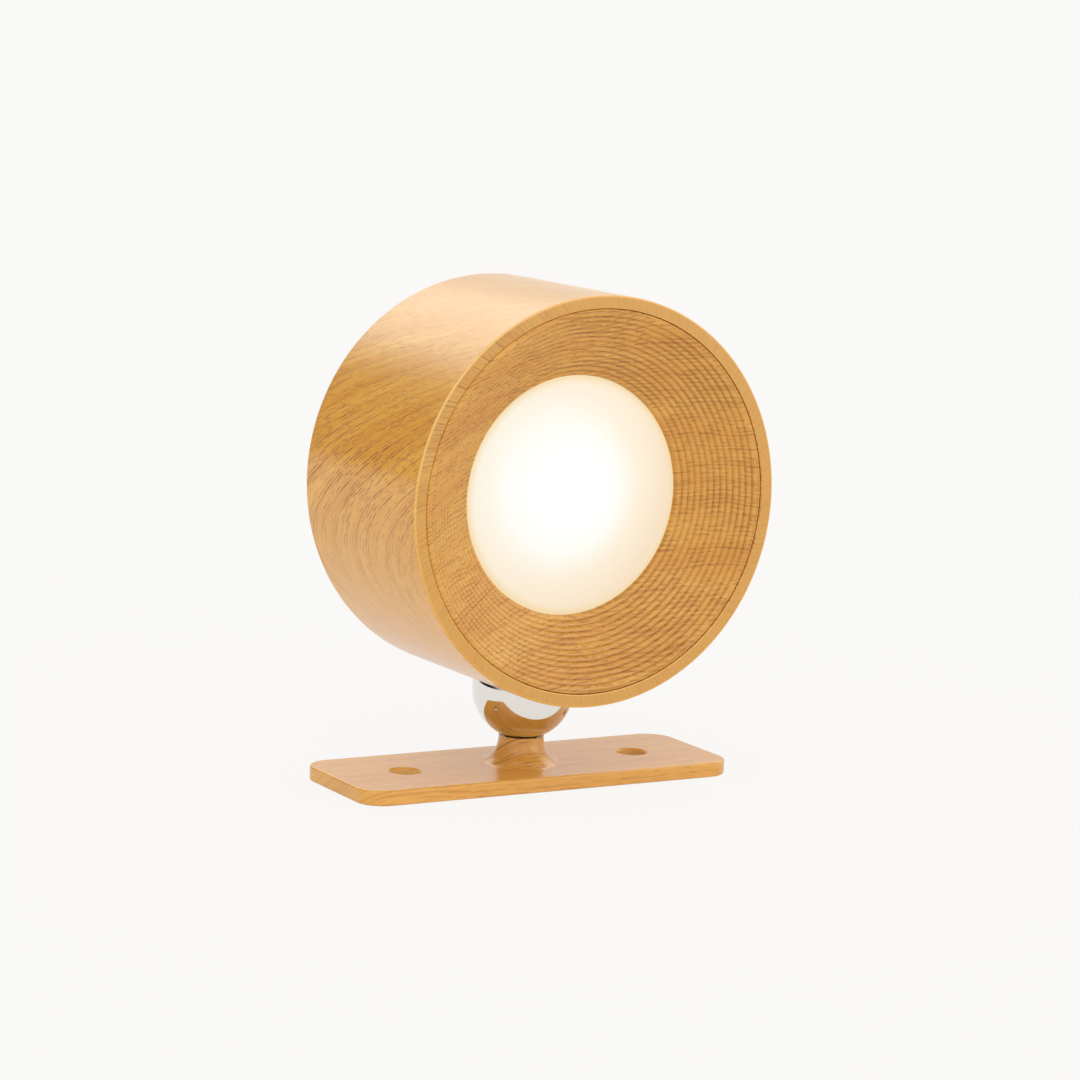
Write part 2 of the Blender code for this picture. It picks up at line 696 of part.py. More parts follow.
def make_magnet():
    base = MAGNET_BASE + SEAT_GAP
    top = base + MAGNET_THICKNESS
    rim = MAGNET_RADIUS - MAGNET_CHAMFER
    profile = [
        (0.0, top),
        (rim, top),
        (MAGNET_RADIUS, top - MAGNET_CHAMFER),
        (MAGNET_RADIUS, base + MAGNET_CHAMFER),
        (rim, base),
        (0.0, base),
    ]
    turned("socket_magnet", profile, NICKEL, BALL_PIVOT, SMALL_STEPS)

    low = POCKET_TOP + SEAT_GAP
    high = low + CAP_THICKNESS
    ear = (CAP_POST_RADIUS, CAP_POST_RADIUS)
    disc = (POCKET_OUTER, POCKET_OUTER)
    meet = math.asin(CAP_EAR_ROOT / POCKET_OUTER)
    outline = [
        *arc((CAP_SCREW_OFFSET, 0.0), ear, -math.pi / 2, math.pi / 2, 7),
        *arc((0.0, 0.0), disc, meet, math.pi - meet, 9),
        *arc((-CAP_SCREW_OFFSET, 0.0), ear, math.pi / 2, 1.5 * math.pi, 7),
        *arc((0.0, 0.0), disc, math.pi + meet, math.tau - meet, 9),
    ]
    middle = (0.0, 0.0, (low + high) / 2)
    cap = slab("magnet_cap", outline, CAP_THICKNESS, BLACK_ABS, BALL_PIVOT, location=middle)
    for name, side in (("left", -1), ("right", 1)):
        x = side * CAP_SCREW_OFFSET
        through = ((x, 0.0, low - OVERRUN), (x, 0.0, high + OVERRUN))
        cut(cap, rod("cap_hole_" + name, *through, CAP_SCREW[2] + SEAT_GAP, None, BALL_PIVOT, SCREW_STEPS))
        seat = (x, 0.0, high + SEAT_GAP)
        length = CAP_THICKNESS + CAP_SCREW_DEPTH
        screw_piece("magnet_screw_" + name, seat, (0.0, 0.0, -1.0), CAP_SCREW, length, BALL_PIVOT)


# Optical pieces: ribbed ring, diffuser, light box and light board


def ribbed_cone():
    """The cone from throat to mouth, as rounded ribs with a groove between each two."""
    throat = Vector((THROAT_RADIUS, THROAT))
    slant = Vector((MOUTH_RADIUS, RING_FRONT)) - throat
    outward = Vector((-slant.y, slant.x)).normalized()
    points = []
    for rib in range(RIB_COUNT):
        points.append(throat + slant * rib / RIB_COUNT)
        for share in RIB_CREST_SHARES:
            points.append(throat + slant * (rib + share) / RIB_COUNT + outward * RIB_HEIGHT)
    points.append(throat + slant)
    return [tuple(point) for point in points]


def under_cone(radius):
    """Height of the cone's underside at a radius."""
    slope = CONE_DEPTH / (MOUTH_RADIUS - THROAT_RADIUS)
    drop = RING_WALL * math.hypot(1.0, slope)
    return THROAT + (radius - THROAT_RADIUS) * slope - drop


def snap_hooks(name, root, seat, forward):
    """Tongues that pass inside a ledge, with a nose that catches its far face at the seat."""
    hooks = []
    tip = seat + forward * HOOK_NOSE
    nose_end = seat + forward * HOOK_NOSE / 2
    reach = HOOK_OUTER + HOOK_REACH
    outline = [
        (HOOK_INNER, root),
        (HOOK_OUTER, root),
        (HOOK_OUTER, seat),
        (reach, seat),
        (reach, nose_end),
        (HOOK_OUTER, tip),
        (HOOK_INNER, tip),
    ]
    for index, angle in enumerate(HOOK_ANGLES):
        turn = (math.pi / 2, 0.0, angle)
        hooks.append(slab(f"{name}_hook_{index}", outline, HOOK_WIDTH, None, HEAD_AXIS, rotation=turn))
    return hooks


def make_reflector():
    skirt_inner = RING_RADIUS - SKIRT_WALL
    skirt_end = RING_LEDGE + SEAT_GAP
    collar_end = THROAT_BACK - COLLAR_LENGTH
    profile = [
        (RING_RADIUS, RING_FRONT),
        (RING_RADIUS, skirt_end),
        (skirt_inner, skirt_end),
        (skirt_inner, under_cone(skirt_inner)),
        (COLLAR_OUTER, under_cone(COLLAR_OUTER)),
        (COLLAR_OUTER, collar_end),
        (COLLAR_INNER, collar_end),
        (COLLAR_INNER, THROAT_BACK),
        (THROAT_RADIUS, THROAT_BACK),
        *ribbed_cone(),
    ]
    ring = turned("reflector_ring", profile, OAK_FILM, HEAD_AXIS, HEAD_STEPS, ring=True)

    middle = RING_WALL / 2
    above = turned(
        "cone_above",
        [
            (0.0, HEAD_FRONT + OVERRUN),
            (HEAD_RADIUS, HEAD_FRONT + OVERRUN),
            (HEAD_RADIUS, under_cone(HEAD_RADIUS) + middle),
            (THROAT_RADIUS, under_cone(THROAT_RADIUS) + middle),
            (0.0, under_cone(THROAT_RADIUS) + middle),
        ],
        None,
        HEAD_AXIS,
        HEAD_STEPS,
    )
    post_end = LIGHT_BOX_SEAT + SEAT_GAP
    for index, angle in enumerate(POST_ANGLES):
        foot = polar(POST_CIRCLE_RADIUS, angle, post_end)
        top = polar(POST_CIRCLE_RADIUS, angle, HEAD_FRONT)
        post = rod(f"ring_post_{index}", foot, top, POST_RADIUS, None, HEAD_AXIS, SCREW_STEPS)
        join(ring, cut(post, above))
    for hook in snap_hooks("ring", under_cone(HOOK_INNER) + middle, RING_LEDGE - LEDGE_THICKNESS - SEAT_GAP, -1):
        join(ring, hook)
    for index, angle in enumerate(POST_ANGLES):
        start = polar(POST_CIRCLE_RADIUS, angle, post_end - OVERRUN)
        end = polar(POST_CIRCLE_RADIUS, angle, post_end + FRAME_SCREW_BITE + SEAT_GAP)
        cut(ring, rod(f"post_pilot_{index}", start, end, FRAME_SCREW[2] + SEAT_GAP, None, HEAD_AXIS, SCREW_STEPS))


def dome(edge_radius, edge, crown, steps):
    """Outline of a low dome, from its top to its edge."""
    sphere_radius = (edge_radius**2 + crown**2) / (2 * crown)
    half_angle = math.asin(edge_radius / sphere_radius)
    centre = (0.0, edge + crown - sphere_radius)
    points = arc(centre, (sphere_radius, sphere_radius), math.pi / 2, math.pi / 2 - half_angle, steps)
    return [(0.0, edge + crown)] + points[1:]


def make_diffuser():
    inner_radius = DOME_RADIUS - DIFFUSER_WALL
    outer = dome(DOME_RADIUS, FLANGE_FRONT + DIFFUSER_STEP, DIFFUSER_CROWN, 6)
    inner = dome(inner_radius, FLANGE_FRONT + DIFFUSER_STEP - DIFFUSER_WALL, DIFFUSER_CROWN, 4)
    profile = outer + [
        (DOME_RADIUS, FLANGE_FRONT),
        (FLANGE_RADIUS, FLANGE_FRONT),
        (FLANGE_RADIUS, FLANGE_BACK),
        (inner_radius, FLANGE_BACK),
    ]
    turned("diffuser", profile + inner[::-1], FROSTED, HEAD_AXIS, MIDDLE_STEPS)


def ears(name, low, high, hub):
    """Three arms with round ends that reach out to the ring's posts."""
    solids = []
    for index, angle in enumerate(POST_ANGLES):
        hub_point = polar(hub, angle)
        outline = [
            (hub_point.length, -EAR_RADIUS),
            *arc((POST_CIRCLE_RADIUS, 0.0), (EAR_RADIUS, EAR_RADIUS), -math.pi / 2, math.pi / 2, 8),
            (hub_point.length, EAR_RADIUS),
        ]
        where = {"location": (0.0, 0.0, (low + high) / 2), "rotation": (0.0, 0.0, angle)}
        thickness = high - low - 2 * EAR_STEP
        solids.append(slab(f"{name}_ear_{index}", outline, thickness, None, HEAD_AXIS, **where))
    return solids


def ear_holes(name, low, high):
    holes = []
    for index, angle in enumerate(POST_ANGLES):
        ends = (polar(POST_CIRCLE_RADIUS, angle, low - OVERRUN), polar(POST_CIRCLE_RADIUS, angle, high + OVERRUN))
        radius = FRAME_SCREW[2] + SEAT_GAP
        holes.append(rod(f"{name}_hole_{index}", *ends, radius, None, HEAD_AXIS, SCREW_STEPS))
    lead = ((LEAD_HOLE_X, LEAD_HOLE_Y, low - OVERRUN), (LEAD_HOLE_X, LEAD_HOLE_Y, high + OVERRUN))
    holes.append(rod(f"{name}_lead_hole", *lead, LEAD_HOLE_RADIUS, None, HEAD_AXIS, SCREW_STEPS))
    return holes


def make_light_box():
    band = LIGHT_BOX_FRONT - LIGHT_BOX_BAND
    rim_inner = FLANGE_RADIUS - LIGHT_BOX_WALL
    profile = [
        (0.0, LIGHT_BOX_SEAT),
        (FLOOR_INNER, LIGHT_BOX_SEAT),
        (rim_inner, LIGHT_BOX_FRONT),
        (FLANGE_RADIUS, LIGHT_BOX_FRONT),
        (FLANGE_RADIUS, band),
        (FLOOR_OUTER, LIGHT_BOX_BACK),
        (0.0, LIGHT_BOX_BACK),
    ]
    cup = turned("light_box", profile, WHITE_ABS, HEAD_AXIS, MIDDLE_STEPS)
    hub = FLOOR_INNER + LIGHT_BOX_WALL / 2
    join(cup, *ears("light_box", LIGHT_BOX_BACK, LIGHT_BOX_SEAT, hub))
    cut(cup, *ear_holes("light_box", LIGHT_BOX_BACK, LIGHT_BOX_SEAT))

    ends = ((0.0, 0.0, LED_BOARD_BACK), (0.0, 0.0, LED_BOARD_FRONT))
    rod("led_board", *ends, LED_BOARD_RADIUS, WHITE_BOARD, HEAD_AXIS, MIDDLE_STEPS)
    low = LED_BOARD_FRONT + SEAT_GAP
    for index in range(LED_COUNT):
        centre = polar(LED_CIRCLE_RADIUS, math.tau * index / LED_COUNT, low)
        half = Vector((LED_LENGTH / 2, LED_WIDTH / 2, 0.0))
        top = centre + half + Vector((0.0, 0.0, LED_HEIGHT))
        block(f"led_chip_{index + 1}", centre - half, top, PHOSPHOR, HEAD_AXIS)


# Chassis with the cell, the control board and their leads


def make_chassis():
    ends = ((0.0, 0.0, CHASSIS_BACK), (0.0, 0.0, CHASSIS_FRONT))
    chassis = rod("chassis", *ends, CHASSIS_RADIUS, BLACK_ABS, HEAD_AXIS, MIDDLE_STEPS)
    hub = CHASSIS_RADIUS - LIGHT_BOX_WALL
    join(chassis, *ears("chassis", CHASSIS_BACK, CHASSIS_FRONT, hub))

    inside = CELL_END + SEAT_GAP
    outside = inside + TROUGH_WALL
    axis = (-CELL_DROP, CELL_AXIS)
    trough = rod("trough", (-outside, *axis), (outside, *axis), TROUGH_OUTER, None, HEAD_AXIS, BALL_STEPS)
    hollow = rod("trough_hollow", (-inside, *axis), (inside, *axis), TROUGH_INNER, None, HEAD_AXIS, BALL_STEPS)
    opening = block(
        "trough_opening",
        (-outside - OVERRUN, -CELL_DROP - TROUGH_OUTER - OVERRUN, CELL_AXIS - TROUGH_OUTER - OVERRUN),
        (outside + OVERRUN, -CELL_DROP + TROUGH_OUTER + OVERRUN, CELL_AXIS - TROUGH_OPENING),
        None,
        HEAD_AXIS,
    )
    join(chassis, cut(trough, hollow, opening))

    shelf_rear = BOARD_REAR + SHELF_SETBACK
    rib_rear = CHASSIS_BACK - (CHASSIS_BACK - shelf_rear) * SHELF_RIB_SHARE
    shelf_low = (-SHELF_WIDTH / 2, SHELF_RISE, shelf_rear)
    shelf_high = (SHELF_WIDTH / 2, SHELF_RISE + SHELF_THICKNESS, CHASSIS_BACK + BITE)
    join(chassis, block("shelf", shelf_low, shelf_high, None, HEAD_AXIS))
    rib_outline = [
        (SHELF_RISE + BITE, CHASSIS_BACK + BITE),
        (SHELF_RISE + BITE, rib_rear),
        (TROUGH_OUTER - CELL_DROP, CELL_AXIS),
        (TROUGH_INNER - CELL_DROP, CELL_AXIS),
        (TROUGH_INNER - CELL_DROP, CHASSIS_BACK + BITE),
    ]
    for side in (-1, 1):
        # The outline's first value runs up and its second runs forward.
        turn = Matrix(((0, 0, 1), (1, 0, 0), (0, 1, 0))).to_euler()
        where = {"location": (side * SHELF_RIB_OFFSET, 0.0, 0.0), "rotation": turn}
        join(chassis, slab(f"shelf_rib_{side}", rib_outline, SHELF_RIB_THICKNESS, None, HEAD_AXIS, **where))
    cut(chassis, hollow, *ear_holes("chassis", CHASSIS_BACK, CHASSIS_FRONT))
    for side in (-1, 1):
        cut(chassis, board_screw_hole("shelf", side, SHELF_RISE, SHELF_RISE + SHELF_THICKNESS))

    for name, angle in zip(("top", "left", "right"), POST_ANGLES):
        seat = polar(POST_CIRCLE_RADIUS, angle, CHASSIS_BACK - SEAT_GAP)
        stack = LIGHT_BOX_SEAT + SEAT_GAP - CHASSIS_BACK + FRAME_SCREW_BITE
        screw_piece("frame_screw_" + name, seat, (0.0, 0.0, 1.0), FRAME_SCREW, stack, HEAD_AXIS)


def board_screw_place(side):
    return side * BOARD_SCREW_OFFSET, BOARD_FRONT - BOARD_SCREW_BACK


def board_screw_hole(name, side, low, high):
    x, z = board_screw_place(side)
    ends = ((x, low - OVERRUN, z), (x, high + OVERRUN, z))
    return rod(f"{name}_screw_hole_{side}", *ends, BOARD_SCREW[2] + SEAT_GAP, None, HEAD_AXIS, SCREW_STEPS)


def make_cell():
    edge = CELL_EDGE_ROUND
    ring = CELL_RADIUS - 2 * edge
    profile = [
        (0.0, CELL_END),
        (CELL_BUTTON_RADIUS, CELL_END),
        (CELL_BUTTON_RADIUS, CELL_END - CELL_BUTTON_RECESS),
        (ring, CELL_END - CELL_BUTTON_RECESS),
        (ring, CELL_END),
        (CELL_RADIUS - edge, CELL_END),
        (CELL_RADIUS, CELL_END - edge),
        (CELL_RADIUS, edge - CELL_END),
        (CELL_RADIUS - edge, -CELL_END),
        (0.0, -CELL_END),
    ]
    place_along_x = {"location": (0.0, -CELL_DROP, CELL_AXIS), "rotation": (0.0, math.pi / 2, 0.0)}
    turned("battery_cell", profile, CELL_WRAP, HEAD_AXIS, BALL_STEPS, **place_along_x)


def make_board():
    half = BOARD_WIDTH / 2
    low = (-half, BOARD_UNDERSIDE, BOARD_REAR)
    board = block("control_board", low, (half, BOARD_TOP, BOARD_FRONT), CIRCUIT, HEAD_AXIS)
    for name, side in (("left", -1), ("right", 1)):
        cut(board, board_screw_hole("board", side, BOARD_UNDERSIDE, BOARD_TOP))
        x, z = board_screw_place(side)
        length = SEAT_GAP + BOARD_TOP - SHELF_RISE + BOARD_SCREW_TAIL
        screw_piece("board_screw_" + name, (x, BOARD_SEAT, z), (0.0, -1.0, 0.0), BOARD_SCREW, length, HEAD_AXIS)
    chip_front = BOARD_FRONT - COMPONENTS_FRONT
    block(
        "driver_chip",
        (CHIP_X - CHIP_SIDE / 2, BOARD_SEAT, chip_front - CHIP_SIDE),
        (CHIP_X + CHIP_SIDE / 2, BOARD_SEAT + CHIP_HEIGHT, chip_front),
        BLACK_ABS,
        HEAD_AXIS,
    )
    coil_z = chip_front - COIL_RADIUS
    coil_ends = ((COIL_X, BOARD_SEAT, coil_z), (COIL_X, BOARD_SEAT + COIL_HEIGHT, coil_z))
    rod("inductor", *coil_ends, COIL_RADIUS, FERRITE, HEAD_AXIS)


def make_usb_socket():
    mouth = HEAD_BACK + USB_RECESS
    front = mouth + USB_LENGTH
    inner_height = USB_HEIGHT - 2 * USB_WALL
    shell_outline = rounded_rectangle(USB_WIDTH, USB_HEIGHT, USB_HEIGHT / 2 - WELD_DISTANCE, 5)
    cavity_outline = rounded_rectangle(
        USB_WIDTH - 2 * USB_WALL, inner_height, inner_height / 2 - WELD_DISTANCE, 5
    )
    centre = (0.0, PORT_HEIGHT, (mouth + front) / 2)
    shell = slab("usb_c_socket", shell_outline, USB_LENGTH, NICKEL, HEAD_AXIS, location=centre)
    depth = USB_LENGTH - USB_BACK_WALL + OVERRUN
    cavity_centre = (0.0, PORT_HEIGHT, mouth - OVERRUN + depth / 2)
    cut(shell, slab("usb_cavity", cavity_outline, depth, None, HEAD_AXIS, location=cavity_centre))
    tongue_root = front - USB_BACK_WALL / 2
    half_width = USB_TONGUE_WIDTH / 2
    half_thickness = USB_TONGUE_THICKNESS / 2
    tongue = block(
        "usb_tongue",
        (-half_width, PORT_HEIGHT - half_thickness, tongue_root - USB_TONGUE_LENGTH),
        (half_width, PORT_HEIGHT + half_thickness, tongue_root),
        None,
        HEAD_AXIS,
    )
    join(shell, tongue)


def make_button():
    """Built with its own z axis pointing out of the back, from its place on the cover's face."""
    flange_out = -COVER_THICKNESS - SEAT_GAP
    flange_in = flange_out - BUTTON_FLANGE_THICKNESS
    stem_end = flange_in - BUTTON_STEM_LENGTH
    edge = BUTTON_DISH
    profile = [
        (0.0, BUTTON_PROUD - BUTTON_DISH),
        (BUTTON_RADIUS / 2, BUTTON_PROUD - BUTTON_DISH * 3 / 4),
        (BUTTON_RADIUS - 2 * edge, BUTTON_PROUD),
        (BUTTON_RADIUS - edge, BUTTON_PROUD),
        (BUTTON_RADIUS, BUTTON_PROUD - edge),
        (BUTTON_RADIUS, flange_out),
        (BUTTON_RADIUS + BUTTON_FLANGE_WIDTH, flange_out),
        (BUTTON_RADIUS + BUTTON_FLANGE_WIDTH, flange_in),
        (BUTTON_STEM_RADIUS, flange_in),
        (BUTTON_STEM_RADIUS, stem_end),
        (0.0, stem_end),
    ]
    out_of_back = {"location": (BUTTON_X, PORT_HEIGHT, HEAD_BACK), "rotation": (math.pi, 0.0, 0.0)}
    turned("power_button", profile, OAK_FILM, HEAD_AXIS, SMALL_STEPS, **out_of_back)

    nub_tip = HEAD_BACK - stem_end + BUTTON_TRAVEL + SEAT_GAP
    body_rear = nub_tip + SWITCH_NUB_LENGTH
    half = SWITCH_SIDE / 2
    body = block(
        "tact_switch",
        (BUTTON_X - half, BOARD_SEAT, body_rear),
        (BUTTON_X + half, BOARD_SEAT + SWITCH_HEIGHT, body_rear + SWITCH_LENGTH),
        BLACK_ABS,
        HEAD_AXIS,
    )
    nub = rod(
        "switch_nub",
        (BUTTON_X, PORT_HEIGHT, nub_tip),
        (BUTTON_X, PORT_HEIGHT, body_rear + BITE),
        SWITCH_NUB_RADIUS,
        None,
        HEAD_AXIS,
        SCREW_STEPS,
    )
    join(body, nub)


def make_status_light():
    flange_out = -COVER_THICKNESS - SEAT_GAP
    flange_in = flange_out - PIPE_FLANGE_THICKNESS
    end = -PIPE_RECESS - PIPE_LENGTH
    profile = [
        (0.0, -PIPE_RECESS),
        (PIPE_RADIUS, -PIPE_RECESS),
        (PIPE_RADIUS, flange_out),
        (PIPE_FLANGE_RADIUS, flange_out),
        (PIPE_FLANGE_RADIUS, flange_in),
        (PIPE_RADIUS, flange_in),
        (PIPE_RADIUS, end),
        (0.0, end),
    ]
    out_of_back = {"location": (STATUS_X, PORT_HEIGHT, HEAD_BACK), "rotation": (math.pi, 0.0, 0.0)}
    turned("status_light_pipe", profile, CLEAR, HEAD_AXIS, SCREW_STEPS, **out_of_back)
    half = STATUS_LED_SIDE / 2
    rear = HEAD_BACK - end + SEAT_GAP
    block(
        "status_led",
        (STATUS_X - half, BOARD_SEAT, rear),
        (STATUS_X + half, BOARD_SEAT + STATUS_LED_HEIGHT, rear + STATUS_LED_SIDE),
        PHOSPHOR,
        HEAD_AXIS,
    )


def make_cover():
    skirt_end = COVER_LEDGE - SEAT_GAP
    skirt_inner = COVER_RADIUS - COVER_SKIRT_WALL
    edge = COVER_EDGE_ROUND
    edge_arc = arc((COVER_RADIUS - edge, HEAD_BACK + edge), (edge, edge), 0.0, -math.pi / 2, 2)
    profile = [
        (0.0, COVER_INNER),
        (skirt_inner, COVER_INNER),
        (skirt_inner, skirt_end),
        (COVER_RADIUS, skirt_end),
        *edge_arc,
        (0.0, HEAD_BACK),
    ]
    cover = turned("back_cover", profile, OAK_FILM, HEAD_AXIS, HEAD_STEPS)
    catch = COVER_LEDGE + LEDGE_THICKNESS + SEAT_GAP
    for hook in snap_hooks("cover", COVER_INNER - BITE, catch, 1):
        join(cover, hook)

    outside = HEAD_BACK - OVERRUN
    inside = COVER_INNER + OVERRUN
    slot_width = USB_WIDTH + 2 * SEAT_GAP
    slot_height = USB_HEIGHT + 2 * SEAT_GAP
    slot_outline = rounded_rectangle(slot_width, slot_height, slot_height / 2 - WELD_DISTANCE, 5)
    slot_centre = (0.0, PORT_HEIGHT, (outside + inside) / 2)
    cut(cover, slab("usb_slot", slot_outline, inside - outside, None, HEAD_AXIS, location=slot_centre))
    for name, x, radius in (("button", BUTTON_X, BUTTON_RADIUS), ("pipe", STATUS_X, PIPE_RADIUS)):
        ends = ((x, PORT_HEIGHT, outside), (x, PORT_HEIGHT, inside))
        cut(cover, rod(name + "_opening", *ends, radius + SEAT_GAP, None, HEAD_AXIS))


def smooth_route(points, steps=4):
    """Points of one smooth curve through the given ones."""
    padded = [2 * points[0] - points[1], *points, 2 * points[-1] - points[-2]]
    route = []
    for before, start, end, after in zip(padded, padded[1:], padded[2:], padded[3:]):
        for i in range(steps):
            t = i / steps
            rise = (end - before) * t
            bend = (2 * before - 5 * start + 4 * end - after) * t * t
            turn = (3 * start - before - 3 * end + after) * t**3
            route.append(start + (rise + bend + turn) / 2)
    return route + [points[-1]]


def lead(name, points, material):
    curve = bpy.data.curves.new(name, "CURVE")
    curve.dimensions = "3D"
    curve.bevel_depth = LEAD_RADIUS
    curve.bevel_resolution = 1
    curve.use_fill_caps = True
    route = smooth_route([Vector(point) for point in points], 3)
    spline = curve.splines.new("POLY")
    spline.points.add(len(route) - 1)
    for point, place_of_point in zip(spline.points, route):
        point.co = (*place_of_point, 1.0)
    obj = bpy.data.objects.new(name, curve)
    obj.parent = HEAD_AXIS
    curve.materials.append(material)
    PARTS.objects.link(obj)
    return obj


def make_leads():
    landing_x = BOARD_WIDTH / 2 - LEAD_LANDING
    landing_y = BOARD_SEAT + LEAD_RADIUS
    over_edge = landing_y + LEAD_RADIUS
    cell_y = -CELL_DROP
    cell_z = CELL_AXIS - LEAD_ON_CELL
    for name, side, material in (("positive", 1, RED_WIRE), ("negative", -1, BLACK_WIRE)):
        outside = CELL_END + SEAT_GAP + LEAD_BEND
        points = [
            (side * (CELL_END + SEAT_GAP), cell_y, cell_z),
            (side * (outside - LEAD_BEND / 2), cell_y, cell_z),
            (side * outside, cell_y + LEAD_BEND, cell_z),
            (side * outside, (cell_y + landing_y) / 2, cell_z),
            (side * (outside + BOARD_WIDTH / 2) / 2, (cell_y + 3 * landing_y) / 4, cell_z),
            (side * (BOARD_WIDTH / 2 + LEAD_BEND), landing_y, cell_z),
            (side * BOARD_WIDTH / 2, over_edge, cell_z),
            (side * landing_x, landing_y, cell_z),
        ]
        lead("battery_lead_" + name, points, material)
    clear_of_board = BOARD_FRONT + LEAD_BEND * 2 / 3
    for name, side, material in (("positive", 1, RED_WIRE), ("negative", -1, BLACK_WIRE)):
        x = LEAD_HOLE_X + side * LEAD_PITCH / 2
        points = [
            (x, LEAD_HOLE_Y, LED_BOARD_BACK - SEAT_GAP),
            (x, LEAD_HOLE_Y, CHASSIS_BACK),
            (x, LEAD_HOLE_Y + LEAD_BEND / 2, CHASSIS_BACK - LEAD_BEND * 2 / 3),
            (x, (LEAD_HOLE_Y + BOARD_TOP) / 2, clear_of_board),
            (x, BOARD_TOP, clear_of_board),
            (x, over_edge + LEAD_RADIUS, BOARD_FRONT),
            (x, landing_y, BOARD_FRONT - LEAD_BEND),
        ]
        lead("led_lead_" + name, points, material)


def settle_shading():
    """Applies each piece's modifiers, then shades it smooth with its hard edges kept."""
    graph = bpy.context.evaluated_depsgraph_get()
    pieces = [obj for obj in PARTS.objects if obj.type == "MESH"]
    finished = {}
    for obj in pieces:
        mesh = bpy.data.meshes.new_from_object(obj.evaluated_get(graph))
        mesh.shade_smooth()
        mesh.set_sharp_from_angle(angle=SMOOTH_BELOW)
        finished[obj] = mesh
    for obj, mesh in finished.items():
        obj.modifiers.clear()
        obj.data = mesh


make_base()
make_ball()
make_liner()
make_housing()
make_magnet()
make_reflector()
make_diffuser()
make_light_box()
make_chassis()
make_cell()
make_board()
make_usb_socket()
make_button()
make_status_light()
make_cover()
make_leads()
settle_shading()
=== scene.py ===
# %% [markdown]
# # A cordless wall light
#
# A short drum in a printed oak film shines through an opal lens in a ribbed cone. A magnet holds
# the drum on a polished steel ball, and the ball stands on the neck of a small wall plate.
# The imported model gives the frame: every size and every place below starts from its nodes.

import math

import bpy
from mathutils import Matrix, Vector


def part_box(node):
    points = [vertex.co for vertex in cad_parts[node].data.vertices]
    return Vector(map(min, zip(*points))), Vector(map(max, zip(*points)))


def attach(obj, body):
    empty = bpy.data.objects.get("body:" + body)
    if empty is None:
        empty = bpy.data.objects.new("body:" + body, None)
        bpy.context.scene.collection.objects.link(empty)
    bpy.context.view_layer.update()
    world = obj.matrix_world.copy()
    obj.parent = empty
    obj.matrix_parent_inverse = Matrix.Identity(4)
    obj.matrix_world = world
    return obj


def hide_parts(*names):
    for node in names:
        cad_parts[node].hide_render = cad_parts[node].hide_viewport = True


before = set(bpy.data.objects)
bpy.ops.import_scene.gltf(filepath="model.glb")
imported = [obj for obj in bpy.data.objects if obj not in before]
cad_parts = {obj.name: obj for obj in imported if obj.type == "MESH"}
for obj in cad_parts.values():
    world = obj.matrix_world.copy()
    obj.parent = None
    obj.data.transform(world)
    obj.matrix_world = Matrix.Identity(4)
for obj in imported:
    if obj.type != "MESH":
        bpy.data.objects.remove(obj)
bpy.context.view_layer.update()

# %% [markdown]
# ## The camera
#
# The photograph was taken from a little above and from the light's left. The angles, the
# distance and the focal length come from fitting the head's circles and the plate's outline, so
# the render lines up with the photograph. The long focal length keeps the drum from spreading.

# %% Camera
MM = 0.001
PHOTO_SIDE = 1080  # pixels
FOCAL_LENGTH = 3626.2  # pixels
SENSOR_WIDTH = 36.0  # mm
AZIMUTH = math.radians(-30.47)
ELEVATION = math.radians(9.01)
ROLL = math.radians(2.35)
DISTANCE = 828.7 * MM
LOOK_AT = Vector((2.88, 0.0, 54.96)) * MM

toward_camera = Vector(
    (
        math.sin(AZIMUTH) * math.cos(ELEVATION),
        -math.cos(AZIMUTH) * math.cos(ELEVATION),
        math.sin(ELEVATION),
    )
)
level_right = Vector((math.cos(AZIMUTH), math.sin(AZIMUTH), 0.0))
level_up = toward_camera.cross(level_right)
right = level_right * math.cos(ROLL) + level_up * math.sin(ROLL)
up = level_up * math.cos(ROLL) - level_right * math.sin(ROLL)

camera = bpy.data.objects.new("photo_camera", bpy.data.cameras.new("photo_camera"))
camera.data.sensor_width = SENSOR_WIDTH
camera.data.lens = SENSOR_WIDTH * FOCAL_LENGTH / PHOTO_SIDE
turned = Matrix((right, up, toward_camera)).transposed().to_4x4()
camera.matrix_world = Matrix.Translation(LOOK_AT + toward_camera * DISTANCE) @ turned
bpy.context.scene.collection.objects.link(camera)
bpy.context.scene.camera = camera
print("lens:", round(camera.data.lens, 1), "mm")

# %% [markdown]
# ## Sizes from the frame
#
# The new pieces stand in the place of CAD nodes, so their main sizes are read from those nodes.
# Only what a box can't tell, such as a wall or a radius inside, is written as a number here.

# %% Sizes, in mm
def size_of(node):
    low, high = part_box(node)
    return low / MM, high / MM


drum_low, drum_high = size_of("housing_shell")
ball_low, ball_high = size_of("steel_ball")
plate_low, plate_high = size_of("base_plate")

DRUM_RADIUS = (drum_high.x - drum_low.x) / 2
DRUM_AXIS = (drum_high.z + drum_low.z) / 2
DRUM_FRONT = -drum_low.y
DRUM_BACK = -drum_high.y
BALL_RADIUS = (ball_high.x - ball_low.x) / 2
BALL_CENTRE = ball_high.z - BALL_RADIUS
SEAT_GAP = 0.3
OVERRUN = 2.0
WELD_DISTANCE = 0.0005  # far below any detail, far above a Boolean's rounding

FINE_STEPS = 192
MEDIUM_STEPS = 96
SMALL_STEPS = 48
print("drum", round(DRUM_RADIUS, 2), "axis", round(DRUM_AXIS, 2), "ball", round(BALL_CENTRE, 2))

# %% [markdown]
# ## How turned pieces are made
#
# The drum, the cone, the lens, the neck and the button are all bodies of revolution. A lathe
# hand would start with a ring and work along the outline. The same is done here: a circle is
# extruded from point to point of the outline, and resized at each step. The ends are closed with
# a point, or the last ring is bridged to the first for a piece with a hole through it.

